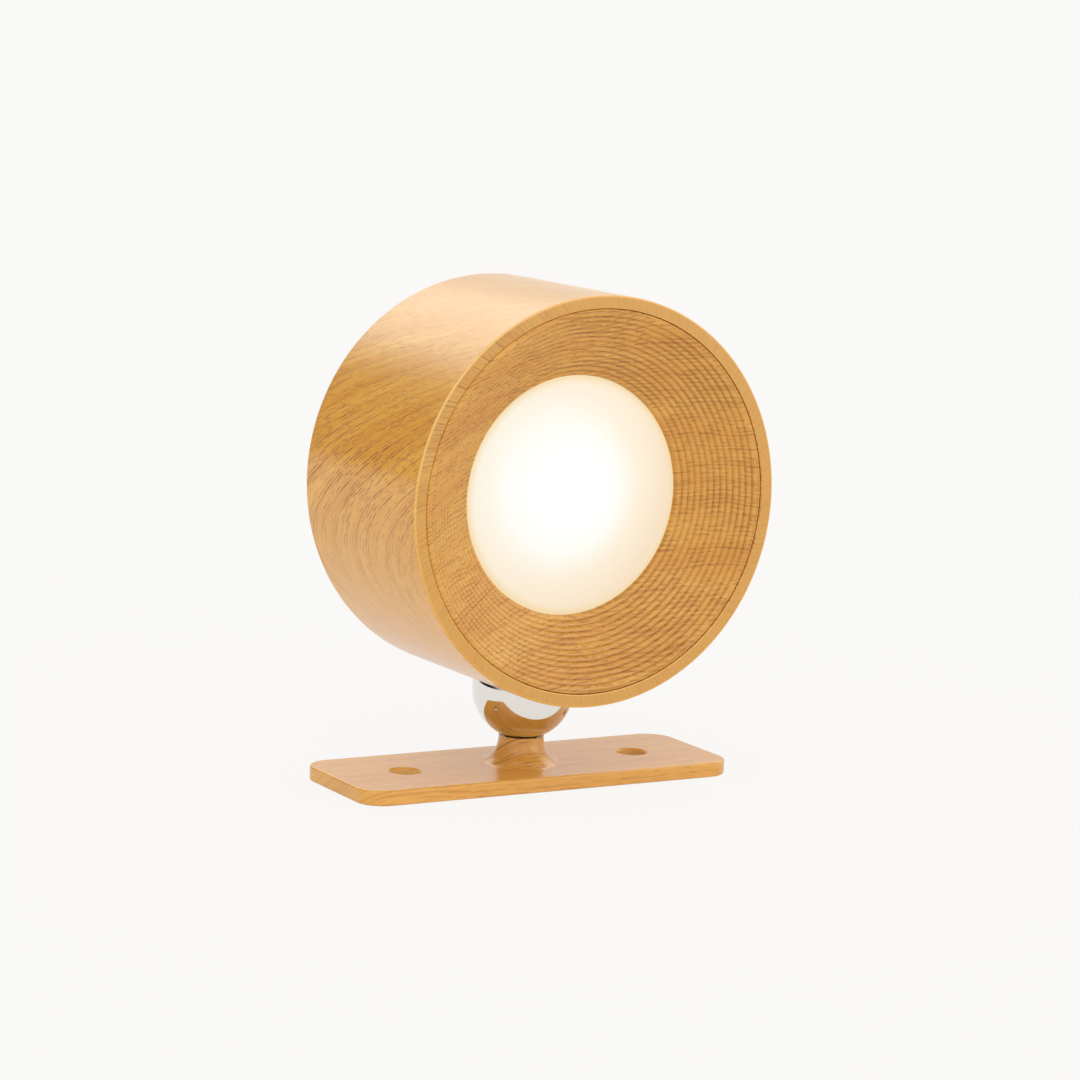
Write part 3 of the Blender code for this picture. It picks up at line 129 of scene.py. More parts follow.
# %% Turning a piece
def clear_selection():
    if bpy.context.object and bpy.context.object.mode != "OBJECT":
        bpy.ops.object.mode_set(mode="OBJECT")
    bpy.ops.object.select_all(action="DESELECT")


def take(piece):
    """Makes the piece the only selected and active one."""
    clear_selection()
    piece.select_set(True)
    bpy.context.view_layer.objects.active = piece


def select_points(piece, chosen):
    """Selects those mesh points in edit mode, by their index."""
    bpy.ops.mesh.select_all(action="DESELECT")
    bpy.ops.object.mode_set(mode="OBJECT")
    for index in chosen:
        piece.data.vertices[index].select = True
    bpy.ops.object.mode_set(mode="EDIT")


def extrude_to(rise, share, height):
    bpy.ops.mesh.extrude_edges_move(TRANSFORM_OT_translate={"value": (0.0, 0.0, rise)})
    if share != 1.0:
        bpy.ops.transform.resize(value=(share, share, 1.0), center_override=(0.0, 0.0, height))


def turn(name, outline, steps=FINE_STEPS, ring=False):
    """A turned piece about the z axis, from (radius, height) points in mm."""
    rings = [(radius * MM, height * MM) for radius, height in outline if radius > 0]
    radius, height = rings[0]
    clear_selection()
    bpy.ops.mesh.primitive_circle_add(vertices=steps, radius=radius, location=(0.0, 0.0, height))
    piece = bpy.context.object
    piece.name = name
    piece.data.name = name
    bpy.ops.object.transform_apply(location=True, rotation=True, scale=True)
    bpy.ops.object.mode_set(mode="EDIT")
    bpy.ops.mesh.select_mode(type="VERT")
    bpy.ops.mesh.select_all(action="SELECT")
    for next_radius, next_height in rings[1:]:
        extrude_to(next_height - height, next_radius / radius, next_height)
        radius, height = next_radius, next_height
    if outline[-1][0] == 0:
        extrude_to(outline[-1][1] * MM - height, 1.0, height)
        bpy.ops.mesh.merge(type="CENTER")
    if outline[0][0] == 0:
        select_points(piece, range(steps))
        extrude_to(outline[0][1] * MM - rings[0][1], 1.0, height)
        bpy.ops.mesh.merge(type="CENTER")
    if ring:
        bpy.ops.object.mode_set(mode="OBJECT")
        count = len(piece.data.vertices)
        bpy.ops.object.mode_set(mode="EDIT")
        select_points(piece, [*range(steps), *range(count - steps, count)])
        bpy.ops.mesh.bridge_edge_loops()
    bpy.ops.mesh.select_all(action="SELECT")
    bpy.ops.mesh.normals_make_consistent(inside=False)
    bpy.ops.object.mode_set(mode="OBJECT")
    return piece


def settle(piece, location=(0.0, 0.0, 0.0), rotation=(0.0, 0.0, 0.0)):
    """Moves a piece to its place, in mm, and puts that place in its mesh."""
    take(piece)
    piece.location = Vector(location) * MM
    piece.rotation_euler = rotation
    bpy.ops.object.transform_apply(location=True, rotation=True, scale=True)
    return piece


def into_drum(piece):
    """Turns a piece made about z so that its z points out of the drum's mouth."""
    return settle(piece, (0.0, 0.0, DRUM_AXIS), (math.pi / 2, 0.0, 0.0))


def arc(centre, radii, start, end, steps):
    """Points of an ellipse's arc between two angles in degrees."""
    angles = [math.radians(start + (end - start) * i / steps) for i in range(steps + 1)]
    return [(centre[0] + radii[0] * math.cos(a), centre[1] + radii[1] * math.sin(a)) for a in angles]


def carve(piece, tool, operation="DIFFERENCE"):
    """Cuts the tool from the piece, or joins it on, and removes the tool."""
    modifier = piece.modifiers.new("Carve", "BOOLEAN")
    modifier.operation = operation
    modifier.solver = "EXACT"
    modifier.object = tool
    take(piece)
    bpy.ops.object.modifier_apply(modifier=modifier.name)
    bpy.data.objects.remove(tool, do_unlink=True)
    # A Boolean can leave points a hair apart, which would open the piece, so they are welded.
    bpy.ops.object.mode_set(mode="EDIT")
    bpy.ops.mesh.select_all(action="SELECT")
    bpy.ops.mesh.remove_doubles(threshold=WELD_DISTANCE * MM)
    bpy.ops.object.mode_set(mode="OBJECT")


def smooth(piece, angle=30.0, weighted=True):
    """Smooth shading with hard edges above an angle. Flat faces keep flat normals."""
    take(piece)
    bpy.ops.object.shade_smooth_by_angle(angle=math.radians(angle))
    if weighted:
        modifier = piece.modifiers.new("Flat faces", "WEIGHTED_NORMAL")
        modifier.keep_sharp = True
        bpy.ops.object.modifier_apply(modifier=modifier.name)
    print(piece.name, len(piece.data.polygons), "faces")
    return piece


# %% [markdown]
# ## The drum
#
# On the real light the drum is a moulded tube with a plain rim in front. A boss inside its
# underside holds the rubber-lined socket for the ball, with a pocket for the magnet over it.
# The tube and the boss are turned about different axes, so they are made apart and joined by a
# Boolean, and the socket is then cut through both.

# %% Drum
WALL = 2.2
RIM_WIDTH = 2.9
RIM_CHAMFER = 0.4
BACK_ROUND = 0.8
RIM_RADIUS = DRUM_RADIUS - RIM_WIDTH
BORE_RADIUS = DRUM_RADIUS - WALL
LEDGE_RADIUS = RIM_RADIUS - 1.9
RING_LEDGE = DRUM_FRONT - 14.7
COVER_LEDGE = DRUM_BACK + 7.7
LEDGE_THICKNESS = 1.8

SOCKET_RADIUS = BALL_RADIUS + 1.4
SOCKET_OUTER = SOCKET_RADIUS + 1.4
SOCKET_MOUTH = BALL_RADIUS + 0.55
MAGNET_BASE = SOCKET_RADIUS + 1.2
POCKET_RADIUS = 7.8
POCKET_OUTER = 9.2
POCKET_TOP = MAGNET_BASE + 4.1
CAP_SCREW_X = 11.4
CAP_POST_RADIUS = 2.4
CAP_PILOT_RADIUS = 1.3
CAP_PILOT_DEPTH = 5.8
PAST_DRUM = 60.0  # along its axis, past both of its ends
PAST_POCKET = 30.0  # upwards, past the pocket's open top

front_round = arc((DRUM_RADIUS - RIM_CHAMFER, DRUM_FRONT - RIM_CHAMFER), (RIM_CHAMFER,) * 2, 90, 0, 4)
back_round = arc((DRUM_RADIUS - BACK_ROUND, DRUM_BACK + BACK_ROUND), (BACK_ROUND,) * 2, 0, -90, 6)
tube_outline = [
    (RIM_RADIUS, DRUM_FRONT - RIM_CHAMFER / 2),
    (RIM_RADIUS + RIM_CHAMFER / 2, DRUM_FRONT),
    *front_round,
    *back_round,
    (BORE_RADIUS, DRUM_BACK),
    (BORE_RADIUS, COVER_LEDGE),
    (LEDGE_RADIUS, COVER_LEDGE),
    (LEDGE_RADIUS, COVER_LEDGE + LEDGE_THICKNESS),
    (BORE_RADIUS, COVER_LEDGE + LEDGE_THICKNESS),
    (BORE_RADIUS, RING_LEDGE - LEDGE_THICKNESS),
    (LEDGE_RADIUS, RING_LEDGE - LEDGE_THICKNESS),
    (LEDGE_RADIUS, RING_LEDGE),
    (RIM_RADIUS, RING_LEDGE),
]
drum = into_drum(turn("oak_drum", tube_outline, ring=True))

waist = SOCKET_OUTER * math.cos(math.radians(57))
boss_outline = [
    (0.0, MAGNET_BASE),
    (POCKET_RADIUS, MAGNET_BASE),
    (POCKET_RADIUS, POCKET_TOP),
    (POCKET_OUTER, POCKET_TOP),
    (POCKET_OUTER, MAGNET_BASE + 0.3),
    (SOCKET_OUTER, waist),
    (SOCKET_OUTER, -SOCKET_OUTER),
    (0.0, -SOCKET_OUTER),
]
boss = settle(turn("socket_boss", boss_outline, MEDIUM_STEPS), (0.0, 0.0, BALL_CENTRE))
for side in (-1, 1):
    post_outline = [
        (0.0, POCKET_TOP),
        (CAP_POST_RADIUS, POCKET_TOP),
        (CAP_POST_RADIUS, waist),
        (0.0, waist),
    ]
    post = settle(turn("cap_post", post_outline, SMALL_STEPS), (side * CAP_SCREW_X, 0.0, BALL_CENTRE))
    carve(boss, post, "UNION")
trim_radius = DRUM_RADIUS - WALL / 2
trim_outline = [
    (0.0, PAST_DRUM),
    (trim_radius, PAST_DRUM),
    (trim_radius, -PAST_DRUM),
    (0.0, -PAST_DRUM),
]
carve(boss, into_drum(turn("barrel_trim", trim_outline)), "INTERSECT")
carve(drum, boss, "UNION")

widest = math.degrees(math.asin(SOCKET_MOUTH / SOCKET_RADIUS))
socket_outline = [(0.0, SOCKET_RADIUS)]
socket_outline += arc((0.0, 0.0), (SOCKET_RADIUS,) * 2, 90, 90 - widest, 16)[1:]
socket_outline += [(SOCKET_MOUTH, -SOCKET_OUTER), (0.0, -SOCKET_OUTER)]
carve(drum, settle(turn("socket_cutter", socket_outline, MEDIUM_STEPS), (0.0, 0.0, BALL_CENTRE)))
for side in (-1, 1):
    hole_outline = [
        (0.0, PAST_POCKET),
        (CAP_PILOT_RADIUS, PAST_POCKET),
        (CAP_PILOT_RADIUS, POCKET_TOP - CAP_PILOT_DEPTH),
        (0.0, POCKET_TOP - CAP_PILOT_DEPTH),
    ]
    hole = turn("cap_pilot", hole_outline, SMALL_STEPS)
    carve(drum, settle(hole, (side * CAP_SCREW_X, 0.0, BALL_CENTRE)))
smooth(drum)

# %% [markdown]
# ## The ribbed cone
#
# This ring takes the most skill. It is one moulding: a skirt that fits in the drum, and a cone
# with thirteen rounded ribs that breaks the light's edge and throws soft shadow lines. Each rib
# is half a sine wave along the slant, so the crests are round and the grooves between are sharp.

# %% Ribbed cone
RIB_COUNT = 13
RIB_HEIGHT = 0.34
RIB_POINTS = 8
RING_RADIUS = RIM_RADIUS - 0.14
RING_FRONT = DRUM_FRONT - 0.3
MOUTH_RADIUS = RING_RADIUS - 0.6
THROAT_RADIUS = 27.1
THROAT = RING_FRONT - 10.9
THROAT_BACK = THROAT - 1.0
CONE_WALL = 1.8
POST_CIRCLE = 34.9
POST_RADIUS = 2.1
POST_END = 11.3
POST_ANGLES = (90, 210, 330)
PILOT_RADIUS = 1.5
PILOT_TOP = 17.1
PILOT_START = 5.0
COLLAR_INNER = 28.9
COLLAR_OUTER = 30.1
COLLAR_LENGTH = 2.9

slope = (RING_FRONT - THROAT) / (MOUTH_RADIUS - THROAT_RADIUS)


def under_cone(radius):
    return THROAT + (radius - THROAT_RADIUS) * slope - CONE_WALL * math.hypot(1.0, slope)


def rib_points():
    start = Vector((THROAT_RADIUS, THROAT))
    slant = Vector((MOUTH_RADIUS, RING_FRONT)) - start
    outward = Vector((-slant.y, slant.x)).normalized()
    count = RIB_COUNT * RIB_POINTS
    points = []
    for i in range(count + 1):
        rise = RIB_HEIGHT * abs(math.sin(math.pi * i / RIB_POINTS))
        points.append(tuple(start + slant * i / count + outward * rise))
    return points


skirt_inner = RING_RADIUS - 1.5
cone_outline = [
    (MOUTH_RADIUS + 0.4, RING_FRONT),
    (RING_RADIUS, RING_FRONT - 0.2),
    (RING_RADIUS, RING_LEDGE + SEAT_GAP),
    (skirt_inner, RING_LEDGE + SEAT_GAP),
    (skirt_inner, under_cone(skirt_inner)),
    (COLLAR_OUTER, under_cone(COLLAR_OUTER)),
    (COLLAR_OUTER, THROAT_BACK - COLLAR_LENGTH),
    (COLLAR_INNER, THROAT_BACK - COLLAR_LENGTH),
    (COLLAR_INNER, THROAT_BACK),
    (THROAT_RADIUS, THROAT_BACK),
    *rib_points(),
]
cone = turn("ribbed_cone", cone_outline, ring=True)
for angle in POST_ANGLES:
    x = POST_CIRCLE * math.cos(math.radians(angle))
    y = POST_CIRCLE * math.sin(math.radians(angle))
    top = under_cone(POST_CIRCLE) + 0.9
    post_outline = [(0.0, top), (POST_RADIUS, top), (POST_RADIUS, POST_END), (0.0, POST_END)]
    carve(cone, settle(turn("post", post_outline, SMALL_STEPS), (x, y, 0.0)), "UNION")
    pilot_outline = [
        (0.0, PILOT_TOP),
        (PILOT_RADIUS, PILOT_TOP),
        (PILOT_RADIUS, PILOT_START),
        (0.0, PILOT_START),
    ]
    carve(cone, settle(turn("pilot", pilot_outline, SMALL_STEPS), (x, y, 0.0)))
smooth(into_drum(cone), weighted=False)

# %% [markdown]
# ## The opal lens
#
# The lens is a low dome of opal acrylic. Its flange is caught between the cone and the light box
# behind it. It is turned like the rest, with a round edge, because that edge catches the light.

# %% Opal lens
LENS_RADIUS = THROAT_RADIUS - SEAT_GAP
FLANGE_RADIUS = LENS_RADIUS + 1.8
FLANGE_FRONT = THROAT_BACK - SEAT_GAP
FLANGE_BACK = FLANGE_FRONT - 1.2
LENS_STEP = 1.0
LENS_CROWN = 2.7
LENS_WALL = 1.5


def dome(edge_radius, edge, crown, steps):
    sphere = (edge_radius**2 + crown**2) / (2 * crown)
    half = math.degrees(math.asin(edge_radius / sphere))
    points = arc((0.0, edge + crown - sphere), (sphere, sphere), 90, 90 - half, steps)
    return [(0.0, edge + crown)] + points[1:]


inner_radius = LENS_RADIUS - LENS_WALL
lens_outline = dome(LENS_RADIUS - 0.25, FLANGE_FRONT + LENS_STEP, LENS_CROWN, 14)
lens_outline += [
    (LENS_RADIUS, FLANGE_FRONT + LENS_STEP - 0.25),
    (LENS_RADIUS, FLANGE_FRONT),
    (FLANGE_RADIUS, FLANGE_FRONT),
    (FLANGE_RADIUS, FLANGE_BACK),
    (inner_radius, FLANGE_BACK),
]
lens_outline += dome(inner_radius, FLANGE_FRONT + LENS_STEP - LENS_WALL, LENS_CROWN, 10)[::-1]
lens = smooth(into_drum(turn("opal_lens", lens_outline)), weighted=False)

# %% [markdown]
# ## The ball
#
# A bearing-grade steel ball, ground and polished. A sphere alone would be a stand-in, so it gets
# the threaded hole and its countersink, where the stud from the neck enters.

# %% Ball
STUD_HOLE_TOP = -5.3  # from the ball's centre
STUD_HOLE_RADIUS = 2.3
SINK_TOP = -11.2
SINK_END = -12.0
SINK_RADIUS = 2.7

clear_selection()
bpy.ops.mesh.primitive_uv_sphere_add(
    segments=MEDIUM_STEPS,
    ring_count=SMALL_STEPS,
    radius=BALL_RADIUS * MM,
    location=(0.0, 0.0, BALL_CENTRE * MM),
)
ball = bpy.context.object
ball.name = "polished_ball"
settle(ball, ball.location / MM)
hole_outline = [
    (0.0, STUD_HOLE_TOP),
    (STUD_HOLE_RADIUS, STUD_HOLE_TOP),
    (STUD_HOLE_RADIUS, SINK_TOP),
    (SINK_RADIUS, SINK_END),
    (0.0, SINK_END),
]
carve(ball, settle(turn("stud_hole", hole_outline, SMALL_STEPS), (0.0, 0.0, BALL_CENTRE)))
smooth(ball, weighted=False)

# %% [markdown]
# ## The wall plate and its neck
#
# The plate starts as a box. Its upright edges are bevelled into wide corners and its long edges
# are softened, as the mould leaves them. The neck is turned with an elliptical flare that runs
# out flat on the plate, and the two screw seats and the dish for the ball are cut last.

# %% Wall plate
PLATE_THICKNESS = 3.5
CORNER_RADIUS = 6.2
EDGE_ROUND = 0.5
NECK_RADIUS = 5.2
FLARE_WIDTH = 4.5
FLARE_HEIGHT = 6.2
DISH_RADIUS = BALL_RADIUS + SEAT_GAP
INSERT_BORE_RADIUS = 3.7
INSERT_BORE_END = 2.7
PAST_NECK = 20.0
SCREW_X = 30.0
SEAT_RADIUS = 3.5
SEAT_CHAMFER = 0.4
SEAT_LAND = 1.3  # plate left under the screw's head
SCREW_HOLE_RADIUS = 2.25


def bevel_edges(piece, wanted, width, segments):
    """Bevels the edges that the rule picks by their two ends, in mm."""
    take(piece)
    bpy.ops.object.mode_set(mode="EDIT")
    bpy.ops.mesh.select_mode(type="EDGE")
    bpy.ops.mesh.select_all(action="DESELECT")
    bpy.ops.object.mode_set(mode="OBJECT")
    points = piece.data.vertices
    for edge in piece.data.edges:
        ends = [points[index].co / MM for index in edge.vertices]
        edge.select = wanted(*ends)
    bpy.ops.object.mode_set(mode="EDIT")
    bpy.ops.mesh.bevel(offset=width * MM, segments=segments, affect="EDGES", clamp_overlap=True)
    bpy.ops.object.mode_set(mode="OBJECT")


clear_selection()
bpy.ops.mesh.primitive_cube_add(size=1.0, location=(0.0, 0.0, PLATE_THICKNESS / 2 * MM))
plate = bpy.context.object
plate.name = "oak_wall_plate"
plate.scale = Vector((plate_high.x - plate_low.x, plate_high.y - plate_low.y, PLATE_THICKNESS)) * MM
bpy.ops.object.transform_apply(location=True, rotation=True, scale=True)
bevel_edges(plate, lambda a, b: abs(a.z - b.z) > 1.0, CORNER_RADIUS, 12)
bevel_edges(plate, lambda a, b: abs(a.z - b.z) < 0.1, EDGE_ROUND, 4)

flare = arc(
    (NECK_RADIUS + FLARE_WIDTH, PLATE_THICKNESS + FLARE_HEIGHT), (FLARE_WIDTH, FLARE_HEIGHT), 180, 270, 24
)
neck_top = BALL_CENTRE
neck_outline = [(0.0, neck_top), (NECK_RADIUS, neck_top), *flare]
neck_outline += [(NECK_RADIUS + FLARE_WIDTH, PLATE_THICKNESS / 2), (0.0, PLATE_THICKNESS / 2)]
carve(plate, turn("neck", neck_outline, MEDIUM_STEPS), "UNION")

dish_outline = [(0.0, DISH_RADIUS)]
dish_outline += arc((0.0, 0.0), (DISH_RADIUS,) * 2, 90, -90, 48)[1:-1] + [(0.0, -DISH_RADIUS)]
carve(plate, settle(turn("dish", dish_outline, MEDIUM_STEPS), (0.0, 0.0, BALL_CENTRE)))
bore_outline = [
    (0.0, PAST_NECK),
    (INSERT_BORE_RADIUS, PAST_NECK),
    (INSERT_BORE_RADIUS, INSERT_BORE_END),
    (0.0, INSERT_BORE_END),
]
carve(plate, turn("insert_bore", bore_outline, SMALL_STEPS))
for side in (-1, 1):
    seat_outline = [
        (0.0, PLATE_THICKNESS + OVERRUN),
        (SEAT_RADIUS + SEAT_CHAMFER, PLATE_THICKNESS + OVERRUN),
        (SEAT_RADIUS + SEAT_CHAMFER, PLATE_THICKNESS),
        (SEAT_RADIUS, PLATE_THICKNESS - SEAT_CHAMFER),
        (SEAT_RADIUS, SEAT_LAND),
        (SCREW_HOLE_RADIUS, SEAT_LAND),
        (SCREW_HOLE_RADIUS, -OVERRUN),
        (0.0, -OVERRUN),
    ]
    seat = turn("screw_seat", seat_outline, SMALL_STEPS)
    carve(plate, settle(seat, (side * SCREW_X, 0.0, 0.0)))
smooth(plate)

# %% [markdown]
# ## The back
#
# The photograph doesn't show the back. Such lights close it with a snapped-in disc that carries
# the button, the charging inlet and a status light, so that is what this disc has.

# %% Back cover
COVER_RADIUS = BORE_RADIUS - SEAT_GAP
COVER_INNER = DRUM_BACK + 2.0
SKIRT_INNER = COVER_RADIUS - 1.5
COVER_ROUND = 0.5
usb_low, usb_high = size_of("usb_c_socket")
button_low, button_high = size_of("power_button")
pipe_low, pipe_high = size_of("status_light_pipe")
PORT_HEIGHT = (usb_low.z + usb_high.z) / 2
BUTTON_X = (button_low.x + button_high.x) / 2
PIPE_X = (pipe_low.x + pipe_high.x) / 2
BUTTON_RADIUS = 4.5
PIPE_RADIUS = 1.2
HOLE_CHAMFER = 0.2
SLOT_CUT = 8.0  # depth of the block that cuts the inlet's slot

cover_edge = arc((COVER_RADIUS - COVER_ROUND, DRUM_BACK + COVER_ROUND), (COVER_ROUND,) * 2, 0, -90, 5)
cover_outline = [
    (0.0, COVER_INNER),
    (SKIRT_INNER, COVER_INNER),
    (SKIRT_INNER, COVER_LEDGE - SEAT_GAP),
    (COVER_RADIUS, COVER_LEDGE - SEAT_GAP),
    *cover_edge,
    (0.0, DRUM_BACK),
]
cover = into_drum(turn("oak_back_cover", cover_outline))


def drill(piece, name, x, radius):
    """A round hole through the cover, with a small chamfer on its outer edge."""
    outer = DRUM_BACK
    outline = [
        (0.0, outer + 4.0),
        (radius, outer + 4.0),
        (radius, outer + HOLE_CHAMFER),
        (radius + 2 * HOLE_CHAMFER, outer - HOLE_CHAMFER),
        (0.0, outer - HOLE_CHAMFER),
    ]
    tool = turn(name, outline, SMALL_STEPS)
    settle(tool, (x, 0.0, PORT_HEIGHT), (math.pi / 2, 0.0, 0.0))
    carve(piece, tool)


drill(cover, "button_hole", BUTTON_X, BUTTON_RADIUS + SEAT_GAP)
drill(cover, "pipe_hole", PIPE_X, PIPE_RADIUS + SEAT_GAP)

slot_width = usb_high.x - usb_low.x + 2 * SEAT_GAP
slot_height = usb_high.z - usb_low.z + 2 * SEAT_GAP
clear_selection()
bpy.ops.mesh.primitive_cube_add(size=1.0, location=Vector((0.0, drum_high.y, PORT_HEIGHT)) * MM)
slot = bpy.context.object
slot.scale = Vector((slot_width, SLOT_CUT, slot_height)) * MM
bpy.ops.object.transform_apply(location=True, rotation=True, scale=True)
bevel_edges(slot, lambda a, b: abs(a.y - b.y) > 1.0, slot_height / 2 - 0.01, 12)
carve(cover, slot)
smooth(cover)

# %% [markdown]
# ## The button and the light pipe
#
# The button is a moulded cap whose face is dished for a fingertip. A flange behind the cover
# keeps it in its hole. The light pipe is a clear rod that carries the status light to the face.
# Both are turned, and both stand on the cover's face, so they share one move to their place.

# %% Button and light pipe
def out_of_back(piece, x):
    """Puts a piece made about z on the cover's face, with its z pointing out of the back."""
    return settle(piece, (x, -DRUM_BACK, PORT_HEIGHT), (-math.pi / 2, 0.0, 0.0))


BUTTON_PROUD = 0.4
FLANGE_THICKNESS = 0.8
BUTTON_FLANGE = BUTTON_RADIUS + 1.1
STEM_RADIUS = 1.5
PIPE_FLANGE = 2.0
PIPE_END = -4.6
flange_out = -2.0 - SEAT_GAP
button_outline = [
    (0.0, BUTTON_PROUD - 0.25),
    (BUTTON_RADIUS * 0.3, BUTTON_PROUD - 0.23),
    (BUTTON_RADIUS * 0.6, BUTTON_PROUD - 0.13),
    (BUTTON_RADIUS * 0.84, BUTTON_PROUD - 0.01),
    (BUTTON_RADIUS - 0.45, BUTTON_PROUD),
    *arc((BUTTON_RADIUS - 0.3, BUTTON_PROUD - 0.3), (0.3, 0.3), 90, 0, 5),
    (BUTTON_RADIUS, flange_out),
    (BUTTON_FLANGE, flange_out),
    (BUTTON_FLANGE, flange_out - FLANGE_THICKNESS),
    (STEM_RADIUS, flange_out - FLANGE_THICKNESS),
    (STEM_RADIUS, flange_out - 2 * FLANGE_THICKNESS),
    (0.0, flange_out - 2 * FLANGE_THICKNESS),
]
button = smooth(out_of_back(turn("oak_button", button_outline, MEDIUM_STEPS), BUTTON_X))

pipe_outline = [
    (0.0, 0.0),
    (PIPE_RADIUS * 0.6, -0.04),
    (PIPE_RADIUS, -0.25),
    (PIPE_RADIUS, flange_out),
    (PIPE_FLANGE, flange_out),
    (PIPE_FLANGE, flange_out - FLANGE_THICKNESS),
    (PIPE_RADIUS, flange_out - FLANGE_THICKNESS),
    (PIPE_RADIUS, PIPE_END),
    (0.0, PIPE_END),
]
pipe = smooth(out_of_back(turn("clear_light_pipe", pipe_outline, SMALL_STEPS), PIPE_X))

# %% [markdown]
# ## The printed film
#
# The oak is taken to be a film with printed grain, floated on water and drawn over mouldings. The
# grain bends round corners then, and stretches where the film did. Each corner of each face
# stores its place in the film: along the grain, the number of the sheet, and across the grain,
# in mm. Two more values say how strong the print is there, and how far the colour turns cream.
# In the screw seats the film is drawn thin and the cream plastic shows through. The rim's edge
# pales at the upper left as a painted highlight. On the drum the film's two ends meet underneath,
# and at the top and underneath it pales and its print fades as a painted sheen.

# %% Wrapping a piece in film
BARREL_SHEET, RIM_SHEET, CONE_SHEET, PLATE_SHEET, BACK_SHEET = range(5)


def wrap_film(piece, rule):
    """Stores what the rule gives: (along, sheet, across), print strength, and thinness with painted light.
    """
    for name, kind in (("film", "FLOAT_VECTOR"), ("print", "FLOAT"), ("thin_film_and_painted_light", "FLOAT")):
        piece.data.attributes.new(name, kind, "CORNER")
    film, ink, thin_film_and_painted_light = (piece.data.attributes[name].data for name in ("film", "print", "thin_film_and_painted_light"))
    points = piece.data.vertices
    for face in piece.data.polygons:
        centre = face.center / MM
        for corner in face.loop_indices:
            point = points[piece.data.loops[corner].vertex_index].co / MM
            film[corner].vector, ink[corner].value, thin_film_and_painted_light[corner].value = rule(point, centre)
    print(piece.name, "wrapped")


# %% Film on the drum
ARCH_ANGLE = math.radians(200)  # the arches' middle line on the drum
SEAM_ANGLE = math.radians(-90)  # the film's two ends meet underneath
ARCH_ROUND = 60.0  # mm of film: how round the arches' bottoms are
ARCH_SLOPE = 2.4  # how steeply their sides run
EDGE_HIGHLIGHT = 0.35
EDGE_HIGHLIGHT_ANGLE = math.radians(135)  # where the painted highlight on the rim's outer edge is strongest
EDGE_PRINT = 0.15
PRINT_ANGLE = math.radians(168)  # where the print on the drum's side is strongest, away from the painted sheen
SHEEN_FAINT_PRINT = 0.3
SHEEN_PALING = 0.22  # how far the film pales at the top and underneath, as painted sheen
RIM_PRINT = 0.15
RIM_THIN = 0.07
TICKS_ANGLE = math.radians(146)  # where the ticks on the rim are strongest
TICKS_PRINT = 0.5
FILM_SLANT = 0.9  # how far the grain leans to each side of the arches' middle
SLANT_REACH = 30.0  # mm round the drum over which that lean builds up


def round_angle(point):
    """Angle round the drum's axis, from the arches' middle line."""
    return math.atan2(point.z - DRUM_AXIS, point.x) - ARCH_ANGLE


def drum_film(point, centre):
    """Nested arches on the drum's left side, and slanting ticks on its rim."""
    past_seam = (round_angle(centre) + ARCH_ANGLE - SEAM_ANGLE) % math.tau
    middle = past_seam + SEAM_ANGLE - ARCH_ANGLE
    angle = round_angle(point)
    angle += round((middle - angle) / math.tau) * math.tau
    way_round = DRUM_RADIUS * angle
    inset = DRUM_RADIUS - math.hypot(point.x, point.z - DRUM_AXIS)
    if centre.y < -DRUM_FRONT + 0.01:
        toward_ticks = math.cos(angle + ARCH_ANGLE - TICKS_ANGLE)
        ink = RIM_PRINT + TICKS_PRINT * max(0.0, toward_ticks) ** 6
        return (inset * 0.8, RIM_SHEET, way_round * 1.1 + 0.4 * inset), ink, RIM_THIN
    along = way_round - FILM_SLANT * point.y * math.tanh(way_round / SLANT_REACH)
    across = point.y + math.hypot(ARCH_SLOPE * way_round, ARCH_ROUND)
    # The rim's outer edge pales towards the upper left: a painted highlight.
    if centre.y < -DRUM_FRONT + RIM_CHAMFER and inset < 1.0:
        toward_highlight = math.cos(angle + ARCH_ANGLE - EDGE_HIGHLIGHT_ANGLE)
        return (along, BARREL_SHEET, across), EDGE_PRINT, EDGE_HIGHLIGHT * max(0.0, toward_highlight) ** 2
    # At the top and underneath the print fades and the film pales: painted sheen.
    away_from_sheen = math.cos(angle + ARCH_ANGLE - PRINT_ANGLE)
    ink = SHEEN_FAINT_PRINT + (1.0 - SHEEN_FAINT_PRINT) * away_from_sheen**8
    return (along, BARREL_SHEET, across), ink, SHEEN_PALING * (1.0 - away_from_sheen**2)


# %% Film on the cone, the plate and the back
CONE_TILT = math.radians(6)
CONE_BEND = 0.0035  # per mm: on the left the grain climbs towards the lens
CONE_SHRINK = 1.35  # the film gathers as it is drawn down into the cone
CONE_BREAKS = 1.5  # and its strokes break up
CONE_PRINT = 0.47
TOP_PRINT = 0.3
SIDE_PRINT = 0.35
NECK_PRINT = 0.55
BACK_PRINT = 0.75
BACK_SHRINK = 1.3
PLATE_THIN = 0.06
SEAT_THIN = 0.5
SEAT_REACH = 3.6  # mm from a screw hole's middle in which the film is drawn thin


def cone_film(point, centre):
    """Nearly level grain, a little tilted, as the film was drawn down into the cone."""
    height = point.z - DRUM_AXIS
    along = point.x * math.cos(CONE_TILT) + height * math.sin(CONE_TILT)
    across = height * math.cos(CONE_TILT) - point.x * math.sin(CONE_TILT)
    across += CONE_BEND * min(0.0, point.x) ** 2
    along *= CONE_SHRINK * CONE_BREAKS
    return (along, CONE_SHEET, across * CONE_SHRINK), CONE_PRINT, 0.0


